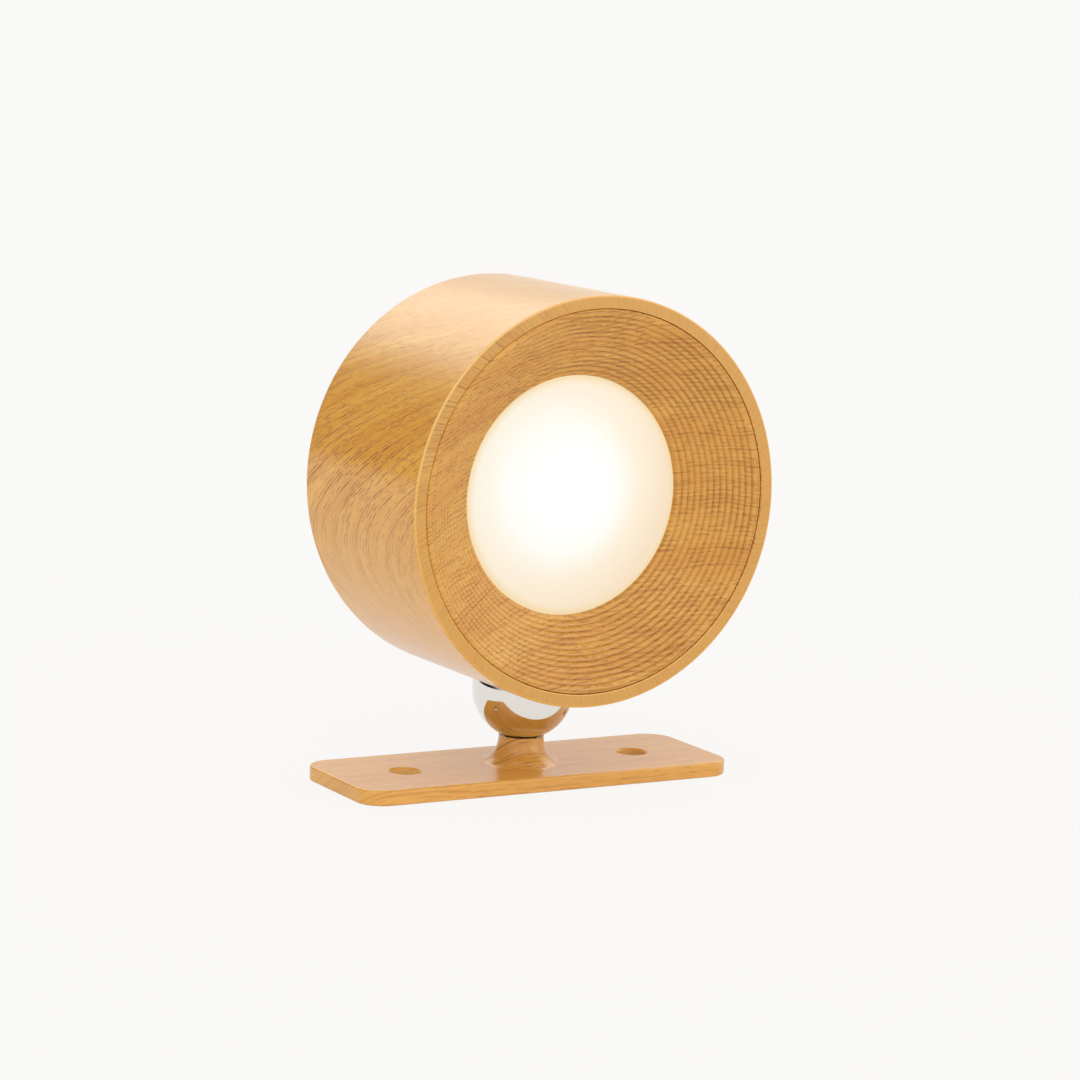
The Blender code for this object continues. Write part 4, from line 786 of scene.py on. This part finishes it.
def plate_film(point, centre):
    """Grain along the plate that turns into short slanting strokes on its ends."""
    in_seat = math.hypot(abs(centre.x) - SCREW_X, centre.y) < SEAT_REACH
    if centre.z > PLATE_THICKNESS + 0.5:
        ink = NECK_PRINT
    else:
        ink = TOP_PRINT if centre.z > PLATE_THICKNESS - 0.02 else SIDE_PRINT
    across = point.y * 0.9 + point.z * 1.3
    return (point.x * 0.8, PLATE_SHEET, across), ink, SEAT_THIN if in_seat else PLATE_THIN


def back_film(point, centre):
    across = point.x + 0.12 * point.z
    return (point.z * BACK_SHRINK, BACK_SHEET, across * BACK_SHRINK), BACK_PRINT, 0.0


wrap_film(drum, drum_film)
wrap_film(cone, cone_film)
wrap_film(plate, plate_film)
wrap_film(cover, back_film)
wrap_film(button, back_film)

# %% [markdown]
# ## Shade in the grooves
#
# The cone's grooves get painted shade, darker than the ribs' crests. Each point stores how near
# it is to the bottom of a groove, measured from the rib's own outline, and the film's material
# darkens by that. On the left wall the photograph hardly shows the grooves: less shade there.

# %% Where the cone's grooves are
LEFT_WALL_SHADE_CUT = 0.8  # how much less painted shade the grooves get on the left wall

groove_shade_share = cone.data.attributes.new("groove_shade_share", "FLOAT", "POINT")
slant = Vector((MOUTH_RADIUS - THROAT_RADIUS, RING_FRONT - THROAT))
for index, vertex in enumerate(cone.data.vertices):
    place = vertex.co / MM
    out = Vector((math.hypot(place.x, place.z - DRUM_AXIS) - THROAT_RADIUS, -place.y - THROAT))
    share = out.dot(slant) / slant.length_squared
    depth = (out - slant * share).length
    if -0.001 < share < 1.001 and depth < RIB_HEIGHT + 0.01:
        # The share of painted shade a point gets: most at a groove's bottom, less on the left wall.
        left = max(0.0, -place.x / math.hypot(place.x, place.z - DRUM_AXIS))
        depth_share = 1.0 - abs(math.sin(math.pi * share * RIB_COUNT))
        groove_shade_share.data[index].value = depth_share * (1.0 - LEFT_WALL_SHADE_CUT * left)
print("grooves marked")

# %% [markdown]
# ## Building materials
#
# Colours are written as sRGB hex, as a picker shows them, and one function turns them to the
# linear values that shaders use. One function adds a node with its settings and links, so a
# material reads as a list of what is mixed with what. A node passed to it stands for its first
# output.

# %% Colours and nodes
def linear(hex_colour):
    channels = [int(hex_colour[i : i + 2], 16) / 255 for i in (0, 2, 4)]
    return tuple(c / 12.92 if c <= 0.04045 else ((c + 0.055) / 1.055) ** 2.4 for c in channels) + (1.0,)


MATH = "ShaderNodeMath"
RANGE = "ShaderNodeMapRange"
MIX = "ShaderNodeMix"
BELOW, ABOVE, MIXED = 6, 7, 2  # places of a mix node's colour sockets


def add(tree, kind, inputs=(), **settings):
    """Adds a node. An input, by name or in order, takes a value, a socket or a node to link."""
    node = tree.nodes.new(kind)
    for name, value in settings.items():
        setattr(node, name, value)
    for name, value in dict(inputs if isinstance(inputs, dict) else enumerate(inputs)).items():
        if isinstance(value, bpy.types.Node):
            value = value.outputs[0]
        if isinstance(value, bpy.types.NodeSocket):
            tree.links.new(value, node.inputs[name])
        else:
            node.inputs[name].default_value = value
    return node


def ramp_stops(node, stops):
    """Sets a colour ramp's stops from (position, hex colour) pairs."""
    elements = node.color_ramp.elements
    while len(elements) < len(stops):
        elements.new(1.0)
    for element, (position, colour) in zip(elements, stops):
        element.position = position
        element.color = linear(colour)


def new_material(name, **shader_values):
    material = bpy.data.materials.new(name)
    material.use_nodes = True
    shader = material.node_tree.nodes["Principled BSDF"]
    for socket, value in shader_values.items():
        shader.inputs[socket.replace("_", " ")].default_value = value
    return material, material.node_tree, shader


# %% [markdown]
# ## Oak film
#
# A water-transfer film under a satin lacquer on moulded ABS. The eye reads it as oak by its
# rows of short dark pores along the growth rings, on a honey ground with lighter and darker
# bands. The real pores are about 0.15 mm wide. They are drawn about twice as wide so that they
# show. The lacquer gives a soft sheen that turns pale at a low angle.

# %% Oak film material
oak, tree, shader = new_material("oak_print_film_satin_lacquer", Roughness=0.2, IOR=1.5)
film = add(tree, "ShaderNodeAttribute", attribute_name="film").outputs["Vector"]
film_axes = add(tree, "ShaderNodeSeparateXYZ", {0: film})
sheet, across = film_axes.outputs["Y"], film_axes.outputs["Z"]


def film_noise(along, across, detail=2.0, shift=0.0, distortion=0.0):
    """Noise whose features are that long and that wide, in mm of film."""
    place = add(
        tree,
        "ShaderNodeMapping",
        {"Vector": film, "Location": (shift, 0.0, shift), "Scale": (1 / along, 7.3, 1 / across)},
    )
    inputs = {"Vector": place.outputs[0], "Scale": 1.0, "Detail": detail, "Distortion": distortion}
    return add(tree, "ShaderNodeTexNoise", inputs).outputs["Fac"]


def stripes(place, spacing, width):
    """1 on thin lines that lie so far apart, and 0 between them, in mm of film."""
    phase = add(
        tree,
        MATH,
        (add(tree, MATH, (place, spacing), operation="DIVIDE"),),
        operation="FRACT",
    )
    off_line = add(
        tree,
        MATH,
        (add(tree, MATH, (phase, 0.5), operation="SUBTRACT"),),
        operation="ABSOLUTE",
    )
    share = add(tree, MATH, (width, spacing), operation="DIVIDE")
    inner = add(tree, MATH, (share, 0.3), operation="MULTIPLY")
    outer = add(tree, MATH, (share, 0.8), operation="MULTIPLY")
    off_share = add(tree, RANGE, (off_line, inner, outer), interpolation_type="SMOOTHSTEP")
    return add(tree, MATH, (1.0, off_share), operation="SUBTRACT")


# %% Pores in rows, and the growth rings
ROW_SPACING = 1.35
PORE_WIDTH = 0.34
PORE_LENGTH = 3.4
RING_SPACING = 5.2

wander = add(tree, MATH, (film_noise(45.0, 32.0, 2.0), 8.0, across), operation="MULTIPLY_ADD")
jagged = add(tree, MATH, (film_noise(2.2, 4.0, 1.0, 3.0), 0.7, wander), operation="MULTIPLY_ADD")
crowding = add(
    tree,
    RANGE,
    (film_noise(30.0, 16.0, 2.0, 11.0), 0.36, 0.62),
    interpolation_type="SMOOTHSTEP",
)
near_ring = stripes(wander, RING_SPACING, 2.6)
breaks = film_noise(PORE_LENGTH, ROW_SPACING * 0.8, 1.0, 23.0)
limit = add(tree, MATH, (crowding, -0.1, 0.6), operation="MULTIPLY_ADD")
limit = add(tree, MATH, (near_ring, -0.07, limit), operation="MULTIPLY_ADD")
on_cone = add(tree, MATH, (sheet, CONE_SHEET, 0.5), operation="COMPARE")
limit = add(tree, MATH, (on_cone, -0.04, limit), operation="MULTIPLY_ADD")
dashes = add(
    tree,
    RANGE,
    (add(tree, MATH, (breaks, limit), operation="SUBTRACT"), 0.0, 0.03),
    interpolation_type="SMOOTHSTEP",
)
width = add(
    tree,
    RANGE,
    (film_noise(14.0, 6.0, 2.0, 43.0), 0.35, 0.65, 0.65 * PORE_WIDTH, 1.35 * PORE_WIDTH),
    interpolation_type="SMOOTHSTEP",
)
width = add(tree, MATH, (on_cone, 0.25 * PORE_WIDTH, width), operation="MULTIPLY_ADD")
pores = add(tree, MATH, (stripes(jagged, ROW_SPACING, width), dashes), operation="MULTIPLY")
flecks = add(
    tree,
    RANGE,
    (film_noise(4.0, 0.5, 1.0, 57.0), 0.56, 0.66),
    interpolation_type="SMOOTHSTEP",
)
ring_breaks = add(
    tree,
    RANGE,
    (film_noise(9.0, 5.0, 2.5, 71.0), 0.4, 0.56),
    interpolation_type="SMOOTHSTEP",
)
rings = add(tree, MATH, (stripes(jagged, RING_SPACING, 0.4), ring_breaks), operation="MULTIPLY")

# %% Ground colour of the film
ink = add(tree, "ShaderNodeAttribute", attribute_name="print").outputs["Fac"]
ground = add(tree, "ShaderNodeValToRGB", {"Fac": film_noise(70.0, 7.0, 3.0, 5.0, 0.3)})
ramp_stops(ground, [(0.32, "D9983E"), (0.5, "E0A346"), (0.7, "E8B052")])
even = add(tree, RANGE, (ink, 0.1, 0.6, 0.2, 1.0), interpolation_type="SMOOTHSTEP")
banded = add(
    tree,
    MIX,
    {0: even, BELOW: linear("E0A346"), ABOVE: ground.outputs["Color"]},
    data_type="RGBA",
).outputs[MIXED]
sheet_tone = add(
    tree,
    "ShaderNodeValToRGB",
    {"Fac": add(tree, MATH, (sheet, 4.0), operation="DIVIDE")},
)
ramp_stops(
    sheet_tone,
    [(0.0, "FFFFFF"), (0.25, "E3E2E5"), (0.5, "F2F3FD"), (0.75, "FCFCFF"), (1.0, "FFFFFF")],
)
colour = add(
    tree,
    MIX,
    {0: 1.0, BELOW: banded, ABOVE: sheet_tone.outputs["Color"]},
    data_type="RGBA",
    blend_type="MULTIPLY",
).outputs[MIXED]
fibres = add(tree, "ShaderNodeValToRGB", {"Fac": film_noise(6.0, 0.5, 2.0, 31.0)})
ramp_stops(fibres, [(0.3, "E4E0DA"), (0.7, "FFFFFF")])
colour = add(
    tree,
    MIX,
    {
        0: add(tree, MATH, (even, 0.6), operation="MULTIPLY"),
        BELOW: colour,
        ABOVE: fibres.outputs["Color"],
    },
    data_type="RGBA",
    blend_type="MULTIPLY",
).outputs[MIXED]
# How far the colour turns cream: thin film in the seats and on the rim and plate, and painted highlight and
# sheen on the drum.
thin_film_and_painted_light = add(tree, "ShaderNodeAttribute", attribute_name="thin_film_and_painted_light").outputs["Fac"]
colour = add(
    tree,
    MIX,
    {0: thin_film_and_painted_light, BELOW: colour, ABOVE: linear("F2D79A")},
    data_type="RGBA",
).outputs[MIXED]


def print_over(below, mark, strength, hex_colour):
    """Prints a mark over the colour, as strongly as the film's print is there."""
    amount = add(
        tree,
        MATH,
        (add(tree, MATH, (mark, strength), operation="MULTIPLY"), ink),
        operation="MULTIPLY",
    )
    return add(
        tree,
        MIX,
        {0: amount, BELOW: below, ABOVE: linear(hex_colour)},
        data_type="RGBA",
    ).outputs[MIXED]


ink = add(
    tree,
    MATH,
    (ink, add(tree, MATH, (1.0, thin_film_and_painted_light), operation="SUBTRACT")),
    operation="MULTIPLY",
)
colour = print_over(colour, flecks, 0.35, "A5682A")
colour = print_over(colour, rings, 0.65, "8C4F10")
colour = print_over(colour, pores, 0.85, "8A4A06")
# Painted shade in the cone's grooves: the colour darkens to 7E4F22 by each point's groove share, more
# strongly where the grain crowds.
groove_shade_depth = add(tree, "ShaderNodeAttribute", attribute_name="groove_shade_share").outputs["Fac"]
groove_shade_strength = add(tree, RANGE, (crowding, 0.0, 1.0, 0.15, 0.45), interpolation_type="SMOOTHSTEP")
painted_groove_shade = add(
    tree,
    MATH,
    (add(tree, MATH, (groove_shade_depth, 1.6), operation="POWER"), groove_shade_strength),
    operation="MULTIPLY",
)
colour = add(
    tree,
    MIX,
    {0: painted_groove_shade, BELOW: colour, ABOVE: linear("7E4F22")},
    data_type="RGBA",
).outputs[MIXED]
tree.links.new(colour, shader.inputs["Base Color"])

relief = add(
    tree,
    MATH,
    (
        add(
            tree,
            MATH,
            (pores, add(tree, MATH, (rings, 0.6), operation="MULTIPLY")),
            operation="MAXIMUM",
        ),
        ink,
    ),
    operation="MULTIPLY",
)
bump = add(tree, "ShaderNodeBump", {"Height": relief, "Strength": 0.5, "Distance": 0.06 * MM}, invert=True)
tree.links.new(bump.outputs[0], shader.inputs["Normal"])
for piece in (drum, cone, plate, cover, button):
    piece.data.materials.clear()
    piece.data.materials.append(oak)
print(oak.name, "has", len(oak.node_tree.nodes), "nodes")

# %% [markdown]
# ## The lit lens
#
# The lens glows. Six chips stand in a ring behind opal acrylic, so the middle is pure white and
# the light warms to cream towards the edge, more to the lower right as painted shade. The glow
# is an emission of strength 1 at most, which is white in the picture and not more.

# %% Opal acrylic
opal, tree, shader = new_material("opal_acrylic_lit", Roughness=0.4, IOR=1.49)
shader.inputs["Base Color"].default_value = linear("1A1917")
where = add(tree, "ShaderNodeTexCoord")
centred = add(
    tree,
    "ShaderNodeMapping",
    {
        "Vector": where.outputs["Object"],
        "Location": (0.0, 0.0, -DRUM_AXIS / LENS_RADIUS),
        "Scale": (1 / LENS_RADIUS / MM,) * 3,
    },
)
place = add(tree, "ShaderNodeSeparateXYZ", {0: centred.outputs[0]})
squares = add(tree, MATH, (place.outputs["X"], place.outputs["X"]), operation="MULTIPLY")
radius = add(
    tree,
    MATH,
    (add(tree, MATH, (place.outputs["Z"], place.outputs["Z"], squares), operation="MULTIPLY_ADD"),),
    operation="SQRT",
)
# Cream falloff with the radius, and painted shade leaning towards the lower right.
glow_falloff_and_shade = add(tree, MATH, (place.outputs["Z"], -0.12, radius), operation="MULTIPLY_ADD")
glow_falloff_and_shade = add(tree, MATH, (place.outputs["X"], 0.25, glow_falloff_and_shade), operation="MULTIPLY_ADD")
glow = add(tree, "ShaderNodeValToRGB", {"Fac": add(tree, MATH, (glow_falloff_and_shade, 1.25), operation="DIVIDE")})
GLOW_STOPS = [
    (0.20, "FFFFFF"),
    (0.40, "FEFCF5"),
    (0.48, "FCF7E8"),
    (0.62, "FCEDD7"),
    (0.76, "FAE8CD"),
    (0.9, "F7E1C4"),
]
ramp_stops(glow, GLOW_STOPS)
edge = add(tree, RANGE, (radius, 0.93, 1.0, 0.0, 0.6), interpolation_type="SMOOTHSTEP")
colour = add(
    tree,
    MIX,
    {0: edge, BELOW: glow.outputs["Color"], ABOVE: linear("F2D79A")},
    data_type="RGBA",
).outputs[MIXED]
tree.links.new(colour, shader.inputs["Emission Color"])
shader.inputs["Emission Strength"].default_value = 0.96
lens.data.materials.append(opal)
print(opal.name, "on", lens.name)

# %% [markdown]
# ## Polished steel
#
# A ground and polished ball mirrors the studio. Its finish isn't perfectly even: faint swirls of
# about 2 mm, left by the polishing, make the mirror a trace softer in places.

# %% Polished steel
SWIRL_SIZE = 2.0

steel, tree, shader = new_material("polished_bearing_steel", Roughness=0.04, Metallic=1.0)
shader.inputs["Base Color"].default_value = linear("E6E2DD")
where = add(tree, "ShaderNodeTexCoord")
swirl = add(
    tree,
    "ShaderNodeTexNoise",
    {"Vector": where.outputs["Object"], "Scale": 1 / (SWIRL_SIZE * MM), "Detail": 4.0},
)
finish = add(
    tree,
    "ShaderNodeMapRange",
    {"Value": swirl.outputs["Fac"], "To Min": 0.03, "To Max": 0.06},
)
tree.links.new(finish.outputs[0], shader.inputs["Roughness"])
ball.data.materials.append(steel)
print(steel.name, "on", ball.name)

# %% [markdown]
# ## Moulded, plated and wrapped parts
#
# The pieces inside are small and ordinary: moulded plastic with a fine spark-eroded grain,
# plated screws, a wrapped cell, a green board. One recipe gives each its two tones and the size
# of its grain. The tones vary slowly over the piece, and the grain shows in gloss and relief.

# %% Materials for the inner pieces
def finished(name, tones, grain, relief_depth, **values):
    """A material with two tones mixed by noise, and a grain of that size in mm."""
    material, tree, shader = new_material(name, **values)
    where = add(tree, "ShaderNodeTexCoord")
    cloud = add(
        tree,
        "ShaderNodeTexNoise",
        {"Vector": where.outputs["Object"], "Scale": 1 / (12 * grain * MM), "Detail": 3.0},
    )
    tone = add(tree, "ShaderNodeValToRGB", {"Fac": cloud.outputs["Fac"]})
    ramp_stops(tone, [(0.35, tones[0]), (0.65, tones[1])])
    tree.links.new(tone.outputs["Color"], shader.inputs["Base Color"])
    speck = add(
        tree,
        "ShaderNodeTexNoise",
        {"Vector": where.outputs["Object"], "Scale": 1 / (grain * MM), "Detail": 2.0},
    )
    bump = add(
        tree,
        "ShaderNodeBump",
        {"Height": speck.outputs["Fac"], "Strength": 0.3, "Distance": relief_depth * MM},
    )
    tree.links.new(bump.outputs[0], shader.inputs["Normal"])
    return material


black_abs = finished("black_abs_spark_eroded", ("1E1E1F", "282829"), 0.25, 0.02, Roughness=0.5)
white_abs = finished("white_abs_spark_eroded", ("EDEBE4", "F6F4EE"), 0.25, 0.02, Roughness=0.45)
silicone = finished("black_silicone_moulded", ("161616", "202020"), 0.4, 0.02, Roughness=0.75)
zinc = finished("zinc_plated_steel", ("AEB2B6", "C4C7CA"), 0.5, 0.01, Roughness=0.33, Metallic=1.0)
brass = finished("brass_turned", ("BF9845", "D0AA58"), 0.3, 0.01, Roughness=0.28, Metallic=1.0)
nickel = finished("nickel_plate_bright", ("BBB8B1", "D0CDC6"), 0.4, 0.005, Roughness=0.22, Metallic=1.0)
nickel_socket = finished("nickel_shell_with_nylon_tongue", ("9A978F", "B4B1A9"), 0.4, 0.005, Roughness=0.3)
phosphor = finished("led_phosphor_silicone", ("EBC94F", "F7DA74"), 0.2, 0.01, Roughness=0.4)
ferrite = finished("ferrite_sintered", ("2E2E30", "454548"), 0.15, 0.02, Roughness=0.6)
mask = finished("white_solder_mask_on_aluminium", ("EFEFEB", "FAFAF7"), 0.5, 0.005, Roughness=0.35)
red_pvc = finished("red_pvc_insulation", ("A81F19", "BC2D25"), 0.3, 0.01, Roughness=0.4)
black_pvc = finished("black_pvc_insulation", ("171717", "222222"), 0.3, 0.01, Roughness=0.4)
clear = finished("clear_acrylic_moulded", ("EDEFEF", "F7F9F9"), 0.4, 0.002, Roughness=0.08, IOR=1.49)
clear.node_tree.nodes["Principled BSDF"].inputs["Transmission Weight"].default_value = 0.85
board = finished("green_solder_mask_on_glass_fibre", ("17512B", "1F6A38"), 0.6, 0.01, Roughness=0.3)
wrap = finished("blue_pvc_shrink_wrap", ("235F9F", "2E73B8"), 0.8, 0.01, Roughness=0.3)

# %% [markdown]
# ## The charging socket
#
# The socket is one CAD solid, but the real one is a bright nickel shell round a black nylon
# tongue. What lies near its middle, in width and height, is therefore coloured black and given
# no metal. Without that the socket reads as a solid bright oval.

# %% Socket tongue
TONGUE_HALF = Vector((3.5, 0.0, 0.45)) * MM
tree = nickel_socket.node_tree
shader = tree.nodes["Principled BSDF"]
where = add(tree, "ShaderNodeTexCoord")
place = add(tree, "ShaderNodeSeparateXYZ", {0: where.outputs["Object"]})
off_middle = add(
    tree,
    MATH,
    (add(tree, MATH, (place.outputs["Z"], PORT_HEIGHT * MM), operation="SUBTRACT"),),
    operation="ABSOLUTE",
)
in_height = add(tree, MATH, (off_middle, TONGUE_HALF.z), operation="LESS_THAN")
in_width = add(
    tree,
    MATH,
    (add(tree, MATH, (place.outputs["X"],), operation="ABSOLUTE"), TONGUE_HALF.x),
    operation="LESS_THAN",
)
tongue = add(tree, MATH, (in_height, in_width), operation="MULTIPLY")
plated = shader.inputs["Base Color"].links[0].from_socket
colour = add(
    tree,
    MIX,
    {0: tongue, BELOW: plated, ABOVE: linear("1C1C1E")},
    data_type="RGBA",
).outputs[MIXED]
metal = add(tree, MATH, (1.0, tongue), operation="SUBTRACT")
tree.links.new(colour, shader.inputs["Base Color"])
tree.links.new(metal.outputs[0], shader.inputs["Metallic"])
print("tongue", round(2 * TONGUE_HALF.x / MM, 1), "mm wide")

# %% [markdown]
# ## Which finish each inner piece gets
#
# These pieces keep their CAD shape, since a small screw or chip hardly shows. A list of names and
# finishes is easier to check against the record than a loop over guesses.

# %% Finishes of the inner pieces
inner_pieces = {
    "neck_insert": brass,
    "ball_stud": zinc,
    "socket_liner": silicone,
    "socket_magnet": nickel,
    "magnet_cap": black_abs,
    "magnet_screw_left": zinc,
    "magnet_screw_right": zinc,
    "light_box": white_abs,
    "led_board": mask,
    "chassis": black_abs,
    "frame_screw_top": zinc,
    "frame_screw_left": zinc,
    "frame_screw_right": zinc,
    "battery_cell": wrap,
    "battery_lead_positive": red_pvc,
    "battery_lead_negative": black_pvc,
    "led_lead_positive": red_pvc,
    "led_lead_negative": black_pvc,
    "control_board": board,
    "board_screw_left": zinc,
    "board_screw_right": zinc,
    "driver_chip": black_abs,
    "inductor": ferrite,
    "usb_c_socket": nickel_socket,
    "tact_switch": black_abs,
    "status_led": phosphor,
}
inner_pieces.update({f"led_chip_{number}": phosphor for number in range(1, 7)})
for name, material in inner_pieces.items():
    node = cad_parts[name]
    node.data.materials.clear()
    node.data.materials.append(material)
pipe.data.materials.append(clear)
print(len(inner_pieces), "inner pieces finished")

# %% [markdown]
# ## What each piece rides on
#
# The pieces move with the CAD bodies: the plate stays, the ball turns, the drum follows the
# ball's socket and the button slides in the drum. Each says which node it stands for and which
# of the record's materials it takes its finish from.

# %% Riding
for piece, body, node, slot_name in (
    (plate, "base", "base_plate", "oak_film"),
    (ball, "ball", "steel_ball", "chrome_steel"),
    (drum, "head", "housing_shell", "oak_film"),
    (cone, "head", "reflector_ring", "oak_film"),
    (lens, "head", "diffuser", "frosted_acrylic"),
    (cover, "head", "back_cover", "oak_film"),
    (pipe, "head", "status_light_pipe", "clear_acrylic"),
    (button, "button", "power_button", "oak_film"),
):
    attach(piece, body)
    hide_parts(node)
    print(piece.name, "rides on", body)

# %% [markdown]
# ## The stage and the light
#
# The photograph was taken on a white sweep in even light, with a faint shadow under the plate.
# The floor is pale and takes the light like paper. What the camera and the reflections see of it
# is mostly its own plain tone, so it stays white without more light on the object, and a little
# of the lit paper remains in the mix to carry the shadow. Far away it fades into the backdrop.
#
# A real studio isn't the same all round, and a satin lacquer shows that. Reflections therefore
# see their own world: plain in front, dark at the back on the left, which gives the drum's side
# its deep honey tone, and bright high at the back, which gives its top the pale sheen.

# %% Floor
BACKDROP = linear("FAF9F7")
FLOOR_RADIUS = 6.0

clear_selection()
bpy.ops.mesh.primitive_circle_add(vertices=128, radius=FLOOR_RADIUS, fill_type="NGON")
floor = bpy.context.object
floor.name = "floor"
floor.location = (0.0, 0.0, -0.02 * MM)

paper, tree, shader = new_material("white_paper_sweep", Roughness=0.9)
shader.inputs["Base Color"].default_value = linear("F4F2EF")
shader.inputs["Specular IOR Level"].default_value = 0.0
where = add(tree, "ShaderNodeTexCoord")
path = add(tree, "ShaderNodeLightPath")
seen = add(
    tree,
    MATH,
    (path.outputs["Is Camera Ray"], path.outputs["Is Glossy Ray"]),
    operation="MAXIMUM",
)
seen = add(tree, MATH, (seen, path.outputs["Is Transmission Ray"]), operation="MAXIMUM")
distance = add(tree, "ShaderNodeVectorMath", {0: where.outputs["Object"]}, operation="LENGTH")
far = add(
    tree,
    "ShaderNodeMapRange",
    {"Value": distance.outputs["Value"], "From Min": 0.10, "From Max": 0.35, "To Min": 0.92, "To Max": 1.0},
    interpolation_type="SMOOTHSTEP",
)
plain = add(tree, "ShaderNodeEmission", {"Color": BACKDROP, "Strength": 1.0})
mixed = add(
    tree,
    "ShaderNodeMixShader",
    {
        0: add(tree, MATH, (seen, far.outputs[0]), operation="MULTIPLY"),
        1: shader.outputs[0],
        2: plain.outputs[0],
    },
)
tree.links.new(mixed.outputs[0], tree.nodes["Material Output"].inputs["Surface"])
floor.data.materials.append(paper)
print(floor.name, FLOOR_RADIUS, "m in radius")

# %% Backdrop and lamps
FILL = 0.98  # what the studio's walls add to every side
DARK_SIDE = 0.03  # what reflections see at the back on the left
REFLECTED_LOW = 0.95  # what they see low at the back
REFLECTED_HIGH = 2.7  # and high at the back

world = bpy.data.worlds.new("studio")
bpy.context.scene.world = world
world.use_nodes = True
tree = world.node_tree
backdrop = tree.nodes["Background"]
backdrop.inputs["Color"].default_value = BACKDROP
path = add(tree, "ShaderNodeLightPath")
seen = add(
    tree,
    MATH,
    (path.outputs["Is Camera Ray"], path.outputs["Is Transmission Ray"]),
    operation="MAXIMUM",
)
where = add(tree, "ShaderNodeTexCoord")
side = add(tree, "ShaderNodeSeparateXYZ", {0: where.outputs["Generated"]})
not_left = add(
    tree,
    RANGE,
    (side.outputs["X"], -0.34, -0.06, DARK_SIDE, 1.0),
    interpolation_type="SMOOTHSTEP",
)
high = add(
    tree,
    RANGE,
    (side.outputs["Z"], 0.3, 0.5, REFLECTED_LOW, REFLECTED_HIGH),
    interpolation_type="SMOOTHSTEP",
)
in_front = add(
    tree,
    RANGE,
    (side.outputs["Y"], -0.5, 0.3, 1.0, 0.0),
    interpolation_type="SMOOTHSTEP",
)
at_back = add(tree, MATH, (not_left, high), operation="MULTIPLY")
reflected = add(
    tree,
    MATH,
    (in_front, add(tree, MATH, (1.0, at_back), operation="SUBTRACT"), at_back),
    operation="MULTIPLY_ADD",
)
past_fill = add(tree, MATH, (reflected, FILL), operation="SUBTRACT")
mirrored = add(
    tree,
    MATH,
    (path.outputs["Is Glossy Ray"], past_fill, FILL),
    operation="MULTIPLY_ADD",
)
strength = add(tree, MATH, (mirrored, seen), operation="MAXIMUM")
tree.links.new(strength.outputs[0], backdrop.inputs["Strength"])


def softbox(name, location, aim, size, power):
    lamp = bpy.data.objects.new(name, bpy.data.lights.new(name, "AREA"))
    lamp.data.shape = "RECTANGLE"
    lamp.data.size, lamp.data.size_y = size
    lamp.data.energy = power
    lamp.location = location
    lamp.rotation_euler = (Vector(location) - Vector(aim)).to_track_quat("Z", "Y").to_euler()
    bpy.context.scene.collection.objects.link(lamp)
    print(name, power, "W")


softbox("key_softbox", (-0.6, -1.0, 1.1), (0.0, 0.0, 0.05), (1.2, 1.2), 5.0)
softbox("front_softbox", (0.9, -1.0, 0.3), (0.0, 0.0, 0.0), (1.0, 0.5), 2.5)

bpy.context.scene.view_settings.view_transform = "Standard"
